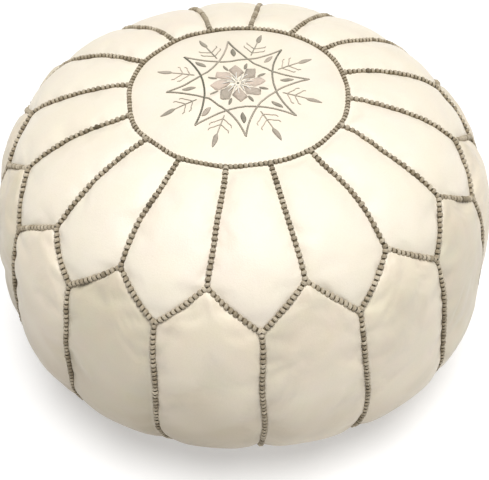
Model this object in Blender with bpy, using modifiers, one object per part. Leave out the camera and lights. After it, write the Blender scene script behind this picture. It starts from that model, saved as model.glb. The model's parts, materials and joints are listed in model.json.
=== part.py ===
"""Moroccan leather pouf: a round stuffed seat with a petal top, sixteen side panels and a zipped base.

The cover is a surface of revolution cut into leather panels. Its outline is two superellipses: a broad crown
above the widest line and a rounded foot below it that lands on a flat base. Angles run from the front (-Y)
towards +X, and a length along the outline runs from the middle of the top, over the side, to the base.
"""

import math

import bmesh
import bpy
import numpy as np

# ---- Driving dimensions, in metres ----
OUTER_RADIUS = 0.270          # to the widest line of the leather
HEIGHT = 0.322                # floor to the middle of the top
WIDEST_HEIGHT = 0.105         # the filling sags, so the widest line lies below the middle
CROWN_POWER = 3.0             # superellipse power above the widest line
FOOT_POWER = 1.7              # and below it
FLAT_RADIUS = 0.165           # the part of the base that rests on the floor

PETALS = 16
MEDALLION_RADIUS = 0.1115     # round seam of the embroidered medallion
STAR_RADIUS = 0.0758          # to the points of the two embroidered stars
STAR_WAIST = 0.0370           # where a star's hollow sides come closest to the middle
STAR_TURN = math.radians(1.5)  # the embroidery stands a little turned from the front
EMBROIDERY_RADIUS = 0.0007    # of its corded outline
STAR_OVERLAP = 0.0003         # one star's cord crosses a little higher than the other's
VALLEY_RADIUS = 0.2234        # where a radial seam meets the zigzag seam
TIP_RADIUS = 0.2482           # lowest point of a petal
BASE_SEAM_RADIUS = 0.195      # round seam under the foot

LEATHER = 0.002
SEAM_RADIUS = 0.0025          # whipstitched welt
SEAM_DEPTH = 0.0005           # its centre lies this far under the leather's face
CLEARANCE = 0.0003            # between pieces that touch
FACET_CLEARANCE = 0.0006      # beside a welt, where flat facets meet its round section
EDGE_SETBACK = SEAM_RADIUS + FACET_CLEARANCE
WELT_END = 2 * SEAM_RADIUS + FACET_CLEARANCE

LINER_DEPTH = 0.008           # the seam allowances fold in behind the leather
LINER = 0.0012
LINER_FLOOR = 0.017           # clear above the zip
FILLING_OPENING = 0.060       # radius of the round opening under the liner
FILL_GAP = 0.003

ZIP_CHANNEL = 0.014           # half the width of the channel between the two base panels
FLANGE_HEIGHT = 0.009         # the panels' edges turn up to the zip tapes
FLANGE_LENGTH = 0.352
TAPE_LENGTH = 0.372
TAPE_WIDTH = 0.014
TAPE = 0.0008
TAPE_EDGE = 0.003             # from the zip's middle to a tape's edge
TAPE_HEIGHT = FLANGE_HEIGHT + CLEARANCE + TAPE / 2
TEETH = 41                    # on each tape
TOOTH_PITCH = 0.008
TOOTH_WIDTH = 0.003
TOOTH_REACH = 0.0015          # past the zip's middle
TOOTH_THICKNESS = 0.0022
SPINE = 0.0006                # the strip that carries the teeth on the tape's edge
CHAIN_LENGTH = TEETH * TOOTH_PITCH
STOP_LENGTH = 0.003
STOP_THICKNESS = 0.0036

SLIDER_LENGTH = 0.014
SLIDER_WIDTH = 0.0105
SLIDER_HEIGHT = 0.0066
SLIDER_TAPER = 0.8            # the tail is narrower than the nose
CHANNEL_WIDTH = 0.0072        # inside the slider, round the teeth
CHANNEL_HEIGHT = 0.0040
SLOT_HEIGHT = 0.0018          # on each side, for the tapes
WEDGE_LENGTH = 0.0040         # the diamond that parts the teeth
WEDGE_WIDTH = 0.0026
BAIL_WIDTH = 0.0016
BAIL_SPAN = 0.0030            # from the pivot to a foot of the bail
BAIL_WIRE = 0.0010
PULL_PIVOT_DROP = 0.0010      # pivot below the slider's face
PULL_LENGTH = 0.024
PULL_WIDTH = 0.0064
PULL_THICKNESS = 0.0010
PULL_EYE_LENGTH = 0.0052
PULL_EYE_WIDTH = 0.0036
PULL_TAPER = 0.75
PULL_SAG = math.radians(10)   # it hangs from the bail until its end is just above the floor

# ---- Mesh resolution ----
PETAL_GRID = (4, 5)           # across and along
SIDE_GRID = (4, 8)
RADIAL_POINTS = 6
UPRIGHT_POINTS = 9
ZIGZAG_POINTS = 4             # in each sector
STAR_SIDE_POINTS = 5
RING_SEGMENTS = 64
TURN_STEPS = 48
MEDALLION_ROWS = 4
INNER_TURN_STEPS = 32
INNER_ROWS = 11
OUTLINE_STEPS = 600
WELD = 0.00001
SHEET_CREASE = 35             # degrees above which an edge stays sharp
WELT_CREASE = 80

SECTOR = 2 * math.pi / PETALS
HALF_SECTOR = SECTOR / 2

# ---- Collections ----
for leftover in list(bpy.data.objects):
    bpy.data.objects.remove(leftover, do_unlink=True)
scene = bpy.context.scene
pouf = bpy.data.collections.new("moroccan_leather_pouf")
cutters = bpy.data.collections.new("cutters")
scene.collection.children.link(pouf)
scene.collection.children.link(cutters)


# ---- Materials ----
def material(name, colour, roughness, metallic=0.0):
    made = bpy.data.materials.new(name)
    made.use_nodes = True
    shader = made.node_tree.nodes["Principled BSDF"]
    shader.inputs["Base Color"].default_value = (*colour, 1.0)
    shader.inputs["Roughness"].default_value = roughness
    shader.inputs["Metallic"].default_value = metallic
    return made


CREAM_LEATHER = material("cream_leather", (0.80, 0.74, 0.62), 0.45)
STITCHING = material("taupe_thread", (0.30, 0.25, 0.18), 0.75)
LINING = material("cotton_lining", (0.72, 0.68, 0.60), 0.90)
BATTING = material("cotton_batting", (0.78, 0.76, 0.72), 0.95)
ZIP_TAPE = material("woven_zip_tape", (0.62, 0.57, 0.48), 0.85)
ZIP_METAL = material("aged_brass", (0.52, 0.42, 0.24), 0.35, 1.0)


# ---- The cover's outline ----
def crown_point(turn):
    radius = OUTER_RADIUS * math.cos(turn) ** (2 / CROWN_POWER)
    rise = (HEIGHT - WIDEST_HEIGHT) * math.sin(turn) ** (2 / CROWN_POWER)
    return radius, WIDEST_HEIGHT + rise


def foot_point(turn):
    radius = FLAT_RADIUS + (OUTER_RADIUS - FLAT_RADIUS) * math.cos(turn) ** (2 / FOOT_POWER)
    return radius, WIDEST_HEIGHT * (1 - math.sin(turn) ** (2 / FOOT_POWER))


turns = np.linspace(0, math.pi / 2, OUTLINE_STEPS)
crown = [crown_point(turn) for turn in turns[::-1]]
foot = [foot_point(turn) for turn in turns[1:]]
outline = np.array([(max(radius, 0.0), height) for radius, height in crown + foot])
along = np.concatenate([[0], np.cumsum(np.hypot(*np.diff(outline, axis=0).T))])


def crown_length(radius):
    """Length along the outline from the middle of the top to this radius, on the crown."""
    return float(np.interp(radius, outline[:OUTLINE_STEPS, 0], along[:OUTLINE_STEPS]))


def foot_length(radius):
    """The same, on the foot, where the radius shrinks as the length grows."""
    return float(np.interp(-radius, -outline[OUTLINE_STEPS:, 0], along[OUTLINE_STEPS:]))


def section_point(length, depth=0.0):
    """Radius and height at a length along the outline, sunk under the leather's face by depth."""
    step = 0.001
    radius, height = (float(np.interp(length, along, outline[:, i])) for i in (0, 1))
    before = [float(np.interp(length - step, along, outline[:, i])) for i in (0, 1)]
    after = [float(np.interp(length + step, along, outline[:, i])) for i in (0, 1)]
    run, rise = after[0] - before[0], after[1] - before[1]
    size = math.hypot(run, rise)
    return radius + depth * rise / size, height - depth * run / size


def cover_point(angle, length, depth=0.0):
    radius, height = section_point(length, depth)
    return radius * math.sin(angle), -radius * math.cos(angle), height


RING = crown_length(MEDALLION_RADIUS)
VALLEY = crown_length(VALLEY_RADIUS)
TIP = crown_length(TIP_RADIUS)
BASE_SEAM = foot_length(BASE_SEAM_RADIUS)


def zigzag(offset):
    """Length along the outline of the zigzag seam, at an angle from a petal's middle."""
    return TIP + (VALLEY - TIP) * abs(offset) / HALF_SECTOR


ZIGZAG_SETBACK = EDGE_SETBACK * math.hypot(TIP - VALLEY, VALLEY_RADIUS * HALF_SECTOR) / (
    VALLEY_RADIUS * HALF_SECTOR
)


# ---- Helpers ----
def spread(start, end, count):
    return [start + (end - start) * i / (count - 1) for i in range(count)]


def add_object(name, data, paint=None, collection=pouf):
    made = bpy.data.objects.new(name, data)
    collection.objects.link(made)
    if paint:
        data.materials.append(paint)
    return made


def mesh_from(name, build):
    """A mesh filled by build(bm)."""
    data = bpy.data.meshes.new(name)
    bm = bmesh.new()
    build(bm)
    bmesh.ops.recalc_face_normals(bm, faces=bm.faces)
    bm.to_mesh(data)
    bm.free()
    return data


def smooth(data, degrees=SHEET_CREASE):
    data.shade_smooth()
    data.set_sharp_from_angle(angle=math.radians(degrees))


def sheet_mesh(name, grid, place):
    """A grid laid on the cover: place(u, v) gives a point, with u from -1 to 1 and v from 0 to 1."""
    data = bpy.data.meshes.new(name)
    bm = bmesh.new()
    bmesh.ops.create_grid(bm, x_segments=grid[0], y_segments=grid[1], size=1.0)
    for vertex in bm.verts:
        vertex.co = place(vertex.co.x, (1 - vertex.co.y) / 2)
    bmesh.ops.recalc_face_normals(bm, faces=bm.faces)
    bm.faces.ensure_lookup_table()
    middle = bm.faces[len(bm.faces) // 2]
    centre = middle.calc_center_median()
    if middle.normal.dot((centre.x, centre.y, centre.z - WIDEST_HEIGHT)) < 0:
        bmesh.ops.reverse_faces(bm, faces=bm.faces)
    bm.to_mesh(data)
    bm.free()
    smooth(data)
    return data


def thicken(obj, thickness):
    shell = obj.modifiers.new("thickness", "SOLIDIFY")
    shell.thickness = thickness
    shell.offset = -1
    shell.use_even_offset = True


def turned(name, profile, paint, steps=TURN_STEPS):
    """A solid turned round Z from (radius, height) points, which run down its outer side."""
    data = bpy.data.meshes.new(name)
    points = [(radius, 0.0, height) for radius, height in profile]
    edges = [(i, i + 1) for i in range(len(points) - 1)]
    data.from_pydata(points, edges, [])
    made = add_object(name, data, paint)
    screw = made.modifiers.new("turn", "SCREW")
    screw.axis = "Z"
    screw.angle = 2 * math.pi
    screw.steps = steps
    screw.render_steps = steps
    screw.use_merge_vertices = True
    screw.merge_threshold = WELD
    return made


def box(name, low, high, paint=None, collection=cutters):
    def build(bm):
        bmesh.ops.create_cube(bm, size=1.0)
        for vertex in bm.verts:
            for axis in range(3):
                vertex.co[axis] = low[axis] if vertex.co[axis] < 0 else high[axis]

    made = add_object(name, mesh_from(name, build), paint, collection)
    if collection is cutters:
        as_cutter(made)
    return made


def as_cutter(obj):
    obj.hide_render = True
    obj.display_type = "WIRE"


def boolean(obj, operation, operand):
    cut = obj.modifiers.new(operand.name, "BOOLEAN")
    cut.operation = operation
    cut.solver = "EXACT"
    cut.object = operand


def welt(name, points, collection=cutters, looped=False, radius=SEAM_RADIUS):
    """A closed tube along the points, as a mesh whose caps are welded on."""
    curve = bpy.data.curves.new(name, "CURVE")
    curve.dimensions = "3D"
    curve.bevel_depth = radius
    curve.bevel_resolution = 1
    curve.use_fill_caps = True
    spline = curve.splines.new("POLY")
    spline.points.add(len(points) - 1)
    for point, place in zip(spline.points, points):
        point.co = (*place, 1.0)
    spline.use_cyclic_u = looped
    route = bpy.data.objects.new(name + "_route", curve)
    cutters.objects.link(route)
    evaluated = route.evaluated_get(bpy.context.evaluated_depsgraph_get())
    data = bpy.data.meshes.new_from_object(evaluated)
    data.name = name
    bpy.data.objects.remove(route, do_unlink=True)
    bm = bmesh.new()
    bm.from_mesh(data)
    bmesh.ops.remove_doubles(bm, verts=bm.verts, dist=WELD)
    bmesh.ops.recalc_face_normals(bm, faces=bm.faces)
    bm.to_mesh(data)
    bm.free()
    made = add_object(name, data, None, collection)
    if collection is cutters:
        as_cutter(made)
    return made


def ring_welt(name, length, paint):
    radius, height = section_point(length, SEAM_DEPTH)
    bpy.ops.mesh.primitive_torus_add(
        major_radius=radius,
        minor_radius=SEAM_RADIUS,
        major_segments=RING_SEGMENTS,
        minor_segments=6,
        location=(0, 0, height),
    )
    made = bpy.context.object
    made.name = name
    made.data.name = name
    for owner in list(made.users_collection):
        owner.objects.unlink(made)
    pouf.objects.link(made)
    made.data.materials.append(paint)
    smooth(made.data, WELT_CREASE)
    return made


def copies(name, data, thickness, first_angle):
    """One numbered panel for each sector, sharing a mesh and turned about the pouf's axis."""
    for index in range(PETALS):
        panel = bpy.data.objects.new(f"{name}_{index + 1:02d}", data)
        panel.rotation_euler.z = first_angle + index * SECTOR
        pouf.objects.link(panel)
        thicken(panel, thickness)


# ---- Leather panels ----
def half_width(length):
    """Half a panel's angle at this length, held back from the seams on both sides."""
    return HALF_SECTOR - EDGE_SETBACK / section_point(length)[0]


def petal_point(u, v):
    end = zigzag(abs(u) * half_width(TIP)) - ZIGZAG_SETBACK
    length = RING + EDGE_SETBACK + (end - RING - EDGE_SETBACK) * v
    return cover_point(u * half_width(length), length)


def side_point(u, v):
    start = zigzag(HALF_SECTOR - abs(u) * half_width(TIP)) + ZIGZAG_SETBACK
    length = start + (BASE_SEAM - EDGE_SETBACK - start) * v
    return cover_point(u * half_width(length), length)


def medallion():
    reach = RING - EDGE_SETBACK
    lengths = spread(0.0, reach, MEDALLION_ROWS + 1)
    face = [section_point(length) for length in lengths]
    back = [section_point(length, LEATHER) for length in lengths[::-1]]
    face[0] = (0.0, face[0][1])
    back[-1] = (0.0, back[-1][1])
    made = turned("top_medallion", face + back, CREAM_LEATHER)
    smooth(made.data)


def petals():
    data = sheet_mesh("petal", PETAL_GRID, petal_point)
    data.materials.append(CREAM_LEATHER)
    copies("petal", data, LEATHER, 0.0)


def side_panels():
    data = sheet_mesh("side_panel", SIDE_GRID, side_point)
    data.materials.append(CREAM_LEATHER)
    copies("side_panel", data, LEATHER, HALF_SECTOR)


def base_panel(name, turn):
    """Half of the base: flat on the floor, its rim rising to the foot and its straight edge turned up."""
    rim = BASE_SEAM + EDGE_SETBACK + CLEARANCE
    landing = along[-1]
    middle = (rim + landing) / 2
    face = [(0.0, 0.0), (FLAT_RADIUS, 0.0), section_point(middle), section_point(rim)]
    back = [(radius, height + LEATHER) for radius, height in face[::-1]]
    made = turned(name, [*face, *back][::-1], CREAM_LEATHER)
    size = 2 * OUTER_RADIUS
    away = box(name + "_cutter", (-size, -size, -size), (size, ZIP_CHANNEL, size))
    low = (-FLANGE_LENGTH / 2, ZIP_CHANNEL + CLEARANCE, CLEARANCE)
    high = (FLANGE_LENGTH / 2, ZIP_CHANNEL + LEATHER, FLANGE_HEIGHT)
    flange = box(name + "_flange", low, high)
    boolean(made, "DIFFERENCE", away)
    boolean(made, "UNION", flange)
    for piece in (made, away, flange):
        piece.rotation_euler.z = turn


# ---- Stitched seams and embroidery ----
def top_seam():
    ring = ring_welt("top_seam_stitching", RING, STITCHING)
    for index in range(PETALS):
        angle = (index + 0.5) * SECTOR
        lengths = spread(RING, VALLEY - WELT_END, RADIAL_POINTS)
        route = [cover_point(angle, length, SEAM_DEPTH) for length in lengths]
        boolean(ring, "UNION", welt(f"radial_welt_{index + 1:02d}", route))


def side_seam():
    """The zigzag is one closed loop, and an upright runs down from each petal's tip."""
    zigzag_route = []
    for index in range(PETALS):
        for offset in spread(-HALF_SECTOR, HALF_SECTOR, ZIGZAG_POINTS + 1)[:-1]:
            zigzag_route.append(cover_point(index * SECTOR + offset, zigzag(offset), SEAM_DEPTH))
    seam = welt("side_seam_stitching", zigzag_route, pouf, looped=True)
    seam.data.materials.append(STITCHING)
    for index in range(PETALS):
        lengths = spread(TIP, BASE_SEAM - WELT_END, UPRIGHT_POINTS)
        route = [cover_point(index * SECTOR, length, SEAM_DEPTH) for length in lengths]
        boolean(seam, "UNION", welt(f"upright_welt_{index + 1:02d}", route))
    smooth(seam.data, WELT_CREASE)


def star_route(turn, lift=0.0):
    """A four-pointed star laid on the medallion. Each hollow side is a quadratic curve between two points."""
    raised = -EMBROIDERY_RADIUS - CLEARANCE - lift
    chord_middle = STAR_RADIUS * math.cos(math.pi / 4)
    control = 2 * STAR_WAIST - chord_middle
    route = []
    for side in range(4):
        start = turn + side * math.pi / 2
        ends = [(STAR_RADIUS, start), (control, start + math.pi / 4), (STAR_RADIUS, start + math.pi / 2)]
        (ax, ay), (bx, by), (cx, cy) = [(r * math.sin(a), -r * math.cos(a)) for r, a in ends]
        for t in spread(0.0, 1.0, STAR_SIDE_POINTS)[:-1]:
            x = (1 - t) ** 2 * ax + 2 * t * (1 - t) * bx + t * t * cx
            y = (1 - t) ** 2 * ay + 2 * t * (1 - t) * by + t * t * cy
            length = crown_length(math.hypot(x, y))
            route.append(cover_point(math.atan2(x, -y), length, raised))
    return route


def medallion_embroidery():
    options = {"looped": True, "radius": EMBROIDERY_RADIUS}
    stars = welt("medallion_embroidery", star_route(STAR_TURN), pouf, **options)
    stars.data.materials.append(STITCHING)
    upper = star_route(STAR_TURN + math.pi / 4, STAR_OVERLAP)
    boolean(stars, "UNION", welt("upper_star", upper, **options))
    smooth(stars.data, WELT_CREASE)


# ---- Inside ----
def inner_profile(depth, floor):
    """Outline of a body under the cover, from the middle of its top to the edge of its flat underside."""
    lengths = spread(0.0, BASE_SEAM, INNER_ROWS)
    points = [section_point(length, depth) for length in lengths]
    points[0] = (0.0, points[0][1])
    return [point for point in points if point[1] > floor + depth] + [(FLAT_RADIUS, floor)]


def inner_liner():
    outer = inner_profile(LINER_DEPTH, LINER_FLOOR) + [(FILLING_OPENING, LINER_FLOOR)]
    inner = inner_profile(LINER_DEPTH + LINER, LINER_FLOOR + LINER)
    inner = inner + [(FILLING_OPENING, LINER_FLOOR + LINER)]
    made = turned("inner_liner", outer + inner[::-1], LINING, INNER_TURN_STEPS)
    smooth(made.data)


def stuffing():
    depth = LINER_DEPTH + LINER + FILL_GAP
    floor = LINER_FLOOR + LINER + CLEARANCE
    profile = inner_profile(depth, floor) + [(0.0, floor)]
    made = turned("stuffing", profile, BATTING, INNER_TURN_STEPS)
    smooth(made.data)


# ---- Zip ----
def zip_tapes():
    for name, side in (("zip_tape_front", -1), ("zip_tape_back", 1)):
        edges = sorted((side * TAPE_EDGE, side * (TAPE_EDGE + TAPE_WIDTH)))
        low = (-TAPE_LENGTH / 2, edges[0], TAPE_HEIGHT - TAPE / 2)
        high = (TAPE_LENGTH / 2, edges[1], TAPE_HEIGHT + TAPE / 2)
        box(name, low, high, ZIP_TAPE, pouf)


def comb(name, side, first):
    """A strip along a tape's edge with one tooth in every pitch, as a filled flat outline."""
    back = TAPE_EDGE - CLEARANCE
    front = back - SPINE
    points = [(-CHAIN_LENGTH / 2, back), (-CHAIN_LENGTH / 2, front)]
    for index in range(TEETH):
        start = -CHAIN_LENGTH / 2 + index * TOOTH_PITCH + first
        end = start + TOOTH_WIDTH
        points += [(start, front), (start, -TOOTH_REACH), (end, -TOOTH_REACH), (end, front)]
    points += [(CHAIN_LENGTH / 2, front), (CHAIN_LENGTH / 2, back)]
    curve = bpy.data.curves.new(name, "CURVE")
    curve.dimensions = "2D"
    curve.fill_mode = "BOTH"
    curve.extrude = TOOTH_THICKNESS / 2
    spline = curve.splines.new("POLY")
    spline.points.add(len(points) - 1)
    for point, (x, y) in zip(spline.points, points):
        point.co = (x, side * y, 0.0, 1.0)
    spline.use_cyclic_u = True
    made = add_object(name, curve, ZIP_METAL)
    made.location.z = TAPE_HEIGHT


def stop(name, x, sides):
    """A clamp over the tapes' edges, slotted for each tape that it holds."""
    reach = TAPE_EDGE + SPINE
    low_y = -reach if -1 in sides else CLEARANCE * 2
    high_y = reach if 1 in sides else -CLEARANCE * 2
    low = (x, low_y, TAPE_HEIGHT - STOP_THICKNESS / 2)
    high = (x + STOP_LENGTH, high_y, TAPE_HEIGHT + STOP_THICKNESS / 2)
    made = box(name, low, high, ZIP_METAL, pouf)
    for side in sides:
        slot = sorted((side * (TAPE_EDGE - CLEARANCE), side * 2 * reach))
        low = (x - STOP_LENGTH, slot[0], TAPE_HEIGHT - TAPE / 2 - CLEARANCE)
        high = (x + 2 * STOP_LENGTH, slot[1], TAPE_HEIGHT + TAPE / 2 + CLEARANCE)
        boolean(made, "DIFFERENCE", box(f"{name}_slot_{side + 1}", low, high))


def zip_stops():
    closed_end = CHAIN_LENGTH / 2 + SLIDER_LENGTH / 2 + CLEARANCE
    stop("zip_top_stop_front", closed_end, (-1,))
    stop("zip_top_stop_back", closed_end, (1,))
    stop("zip_bottom_stop", -CHAIN_LENGTH / 2 - STOP_LENGTH - CLEARANCE, (-1, 1))


PIVOT_X = CHAIN_LENGTH / 2
SLIDER_FACE = TAPE_HEIGHT - SLIDER_HEIGHT / 2
PIVOT_Z = SLIDER_FACE - PULL_PIVOT_DROP


def zip_slider():
    """The slider stands at the closed end, its diamond just past the last tooth. Its nose points to +X."""

    def body(bm):
        bmesh.ops.create_cube(bm, size=1.0)
        for vertex in bm.verts:
            width = SLIDER_WIDTH if vertex.co.x > 0 else SLIDER_WIDTH * SLIDER_TAPER
            vertex.co.x *= SLIDER_LENGTH
            vertex.co.y *= width
            vertex.co.z *= SLIDER_HEIGHT

    data = mesh_from("zip_slider", body)
    slider = add_object("zip_slider", data, ZIP_METAL)
    slider.location = (PIVOT_X, 0, TAPE_HEIGHT)
    reach = SLIDER_LENGTH
    for name, width, height in (
        ("slider_channel", CHANNEL_WIDTH, CHANNEL_HEIGHT),
        ("slider_slot", 2 * SLIDER_WIDTH, SLOT_HEIGHT),
    ):
        low = (PIVOT_X - reach, -width / 2, TAPE_HEIGHT - height / 2)
        high = (PIVOT_X + reach, width / 2, TAPE_HEIGHT + height / 2)
        boolean(slider, "DIFFERENCE", box(name, low, high))
    rooted = CHANNEL_HEIGHT / 2 + CLEARANCE
    wedge_low = (PIVOT_X + CLEARANCE, -WEDGE_WIDTH / 2, TAPE_HEIGHT - rooted)
    wedge_high = (PIVOT_X + WEDGE_LENGTH, WEDGE_WIDTH / 2, TAPE_HEIGHT + rooted)
    boolean(slider, "UNION", box("slider_diamond", wedge_low, wedge_high))
    bail_top = SLIDER_FACE - 2 * PULL_PIVOT_DROP
    bail_low = (PIVOT_X - BAIL_SPAN - BAIL_WIRE, -BAIL_WIDTH / 2, bail_top - BAIL_WIRE)
    bail_high = (PIVOT_X + BAIL_SPAN + BAIL_WIRE, BAIL_WIDTH / 2, SLIDER_FACE + BAIL_WIRE / 2)
    bail = box("slider_bail", bail_low, bail_high)
    gap_low = (PIVOT_X - BAIL_SPAN, -BAIL_WIDTH, bail_top)
    gap_high = (PIVOT_X + BAIL_SPAN, BAIL_WIDTH, SLIDER_FACE)
    boolean(bail, "DIFFERENCE", box("slider_bail_gap", gap_low, gap_high))
    boolean(slider, "UNION", bail)


def zip_pull():
    """A flat tab whose eye hangs on the bail. Its origin is on the pivot, and it lies back over the teeth."""

    def tab(bm):
        bmesh.ops.create_cube(bm, size=1.0)
        for vertex in bm.verts:
            near = vertex.co.x > 0
            vertex.co.x = PULL_THICKNESS / 2 if near else -PULL_LENGTH
            vertex.co.y *= PULL_WIDTH if near else PULL_WIDTH * PULL_TAPER
            vertex.co.z *= PULL_THICKNESS

    pull = add_object("zip_pull", mesh_from("zip_pull", tab), ZIP_METAL)
    low = (-PULL_EYE_LENGTH, -PULL_EYE_WIDTH / 2, -PULL_WIDTH)
    high = (-PULL_THICKNESS / 2, PULL_EYE_WIDTH / 2, PULL_WIDTH)
    eye = box("pull_eye", low, high)
    boolean(pull, "DIFFERENCE", eye)
    for piece in (pull, eye):
        piece.location = (PIVOT_X, 0, PIVOT_Z)
        piece.rotation_euler.y = -PULL_SAG


medallion()
petals()
side_panels()
base_panel("base_panel_back", 0.0)
base_panel("base_panel_front", math.pi)
top_seam()
side_seam()
medallion_embroidery()
ring_welt("base_seam_stitching", BASE_SEAM, STITCHING)
inner_liner()
stuffing()
zip_tapes()
comb("zip_teeth_front", -1, 0.0)
comb("zip_teeth_back", 1, TOOTH_PITCH / 2)
zip_stops()
zip_slider()
zip_pull()
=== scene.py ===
"""Looks of the Moroccan leather pouf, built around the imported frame.

The cover is a surface of revolution cut by seams. cover_point() gives a point on it from an angle (from the
front, -Y, towards +X) and a length along its outline (from the middle of the top, over the side, to the
base). The leather between the seams is inflated by a cloth simulation, and every seam is whipstitched in
real geometry.
"""

import json
import math
import random
from functools import cached_property, lru_cache

import bmesh
import bpy
import numpy as np
from mathutils import Matrix, Vector, noise
from mathutils.bvhtree import BVHTree


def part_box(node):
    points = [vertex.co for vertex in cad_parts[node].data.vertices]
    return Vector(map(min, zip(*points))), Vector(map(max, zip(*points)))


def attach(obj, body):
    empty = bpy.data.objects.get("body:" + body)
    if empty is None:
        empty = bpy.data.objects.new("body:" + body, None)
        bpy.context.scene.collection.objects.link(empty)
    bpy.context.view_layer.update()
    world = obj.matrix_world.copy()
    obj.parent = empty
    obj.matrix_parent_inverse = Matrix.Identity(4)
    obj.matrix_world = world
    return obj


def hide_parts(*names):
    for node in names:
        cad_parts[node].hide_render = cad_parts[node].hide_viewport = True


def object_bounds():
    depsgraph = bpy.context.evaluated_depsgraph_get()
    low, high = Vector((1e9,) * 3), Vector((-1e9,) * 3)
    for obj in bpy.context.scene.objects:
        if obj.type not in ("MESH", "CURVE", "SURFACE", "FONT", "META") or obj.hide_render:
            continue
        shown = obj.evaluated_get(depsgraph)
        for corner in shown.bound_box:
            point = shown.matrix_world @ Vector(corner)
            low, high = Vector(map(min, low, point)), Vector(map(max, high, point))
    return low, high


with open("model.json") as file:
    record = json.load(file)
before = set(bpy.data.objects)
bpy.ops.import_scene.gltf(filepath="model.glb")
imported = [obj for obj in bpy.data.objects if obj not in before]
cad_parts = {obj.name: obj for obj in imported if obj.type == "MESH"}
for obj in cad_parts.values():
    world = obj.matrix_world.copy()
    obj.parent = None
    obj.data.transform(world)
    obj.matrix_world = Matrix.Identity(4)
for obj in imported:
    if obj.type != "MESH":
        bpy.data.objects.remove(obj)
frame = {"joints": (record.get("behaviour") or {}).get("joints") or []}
cad_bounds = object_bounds()
scene = bpy.context.scene

# ---- Sizes that repeat the CAD design, in metres ----
OUTER_RADIUS = 0.270
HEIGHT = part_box("top_medallion")[1][2]
WIDEST_HEIGHT = 0.105
CROWN_POWER = 3.0
FOOT_POWER = 1.7
FLAT_RADIUS = 0.165
SECTORS = 16
MEDALLION_RADIUS = 0.1115
VALLEY_RADIUS = 0.2234
TIP_RADIUS = 0.2482
BASE_SEAM_RADIUS = 0.195
LEATHER = 0.0018
ZIP_CHANNEL = 0.014
LINER_DEPTH = 0.008
LINER_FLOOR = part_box("inner_liner")[0][2]
FILLING_OPENING = 0.060

# ---- Sizes of the soft detail ----
SEAM_SINK = 0.0036            # the leather dips this far at a seam
PETAL_PUFF = 0.0044
SIDE_PUFF = 0.0048
MEDALLION_PUFF = 0.0070
PUFF_REACH = 0.008            # distance from a seam over which the leather rises
WANDER = 0.0022               # how far hand sewing strays from the ideal line
STITCH_PITCH = 0.0054
STRANDS = 3                   # threads side by side in each stitch
STRAND_RADIUS = 0.00072
STRAND_STEP = 0.00098
WELT_HALF_WIDTH = 0.0025
WELT_HEIGHT = 0.0030
WELT_LIFT = -0.0022           # the middle of a welt, from the plain cover

# Where the filling has slumped: how far, at which degrees from the front, and at which height
SLUMPS = (
    (0.013, 42, 0.02),
    (0.006, -46, 0.03),
    (0.007, -124, 0.27),
    (0.008, 127, 0.06),
)
SLUMP_SPREAD = 0.42           # in radians
SLUMP_RISE = 0.07

SECTOR = 2 * math.pi / SECTORS
HALF_SECTOR = SECTOR / 2
COLUMNS = 24                  # in each sector
PETAL_ROWS = 28
SIDE_ROWS = 54

# How much of the cloth simulation's movement is taken off, because leather is stiff, and its limit in metres
PETAL_CALM = 0.55
SIDE_CALM = 0.25
CLOTH_REACH = 0.003
CLOTH_SLIDE = 0.002           # how far the leather may creep sideways
CLOTH_START = 0.6             # share of the full height that the simulation starts from
CLOTH_FRAMES = 20

# How much darker each side panel is, from the one right of the front, round towards +X: partly its hide's own
# tone, partly painted shade, most on the left, away from the light
SIDE_TONES_AND_SHADE = (0.30, 0.35, 0.65, 0.20, 0.50, 0.15, 0.60, 0.35, 0.10, 0.55, 0.25, 0.45, 0.70, 0.30, 0.95, 0.35)


# ---- Camera, as seen by someone standing in front of the pouf ----
CAMERA_ELEVATION = math.radians(46.82)
CAMERA_AZIMUTH = math.radians(-2.81)
CAMERA_ROLL = math.radians(-2.14)
CAMERA_DISTANCE = 1.1666
CAMERA_AIM = (0.0005, 0.0, 0.096)
CAMERA_LENS = 73.18


def add_camera():
    data = bpy.data.cameras.new("camera")
    data.lens = CAMERA_LENS
    data.sensor_width = 36
    camera = bpy.data.objects.new("camera", data)
    scene.collection.objects.link(camera)
    tilt = Matrix.Rotation(math.pi / 2 - CAMERA_ELEVATION, 4, "X")
    turn = Matrix.Rotation(CAMERA_AZIMUTH, 4, "Z")
    back = Matrix.Translation((0, 0, CAMERA_DISTANCE))
    roll = Matrix.Rotation(CAMERA_ROLL, 4, "Z")
    camera.matrix_world = Matrix.Translation(CAMERA_AIM) @ turn @ tilt @ back @ roll
    scene.camera = camera


add_camera()


# ---- The cover's outline ----
def cover_outline():
    steps = 600
    turns = np.linspace(0, math.pi / 2, steps)
    crown_r = OUTER_RADIUS * np.cos(turns) ** (2 / CROWN_POWER)
    crown_z = WIDEST_HEIGHT + (HEIGHT - WIDEST_HEIGHT) * np.sin(turns) ** (2 / CROWN_POWER)
    foot_r = FLAT_RADIUS + (OUTER_RADIUS - FLAT_RADIUS) * np.clip(np.cos(turns), 0, 1) ** (2 / FOOT_POWER)
    foot_z = WIDEST_HEIGHT * (1 - np.sin(turns) ** (2 / FOOT_POWER))
    radii = np.concatenate([crown_r[::-1], foot_r[1:]])
    heights = np.concatenate([crown_z[::-1], foot_z[1:]])
    radii[0] = 0.0
    lengths = np.concatenate([[0], np.cumsum(np.hypot(np.diff(radii), np.diff(heights)))])
    return radii, heights, lengths, steps


RADII, HEIGHTS, LENGTHS, CROWN_STEPS = cover_outline()


def crown_length(radius):
    return float(np.interp(radius, RADII[:CROWN_STEPS], LENGTHS[:CROWN_STEPS]))


def foot_length(radius):
    return float(np.interp(-radius, -RADII[CROWN_STEPS:], LENGTHS[CROWN_STEPS:]))


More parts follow.
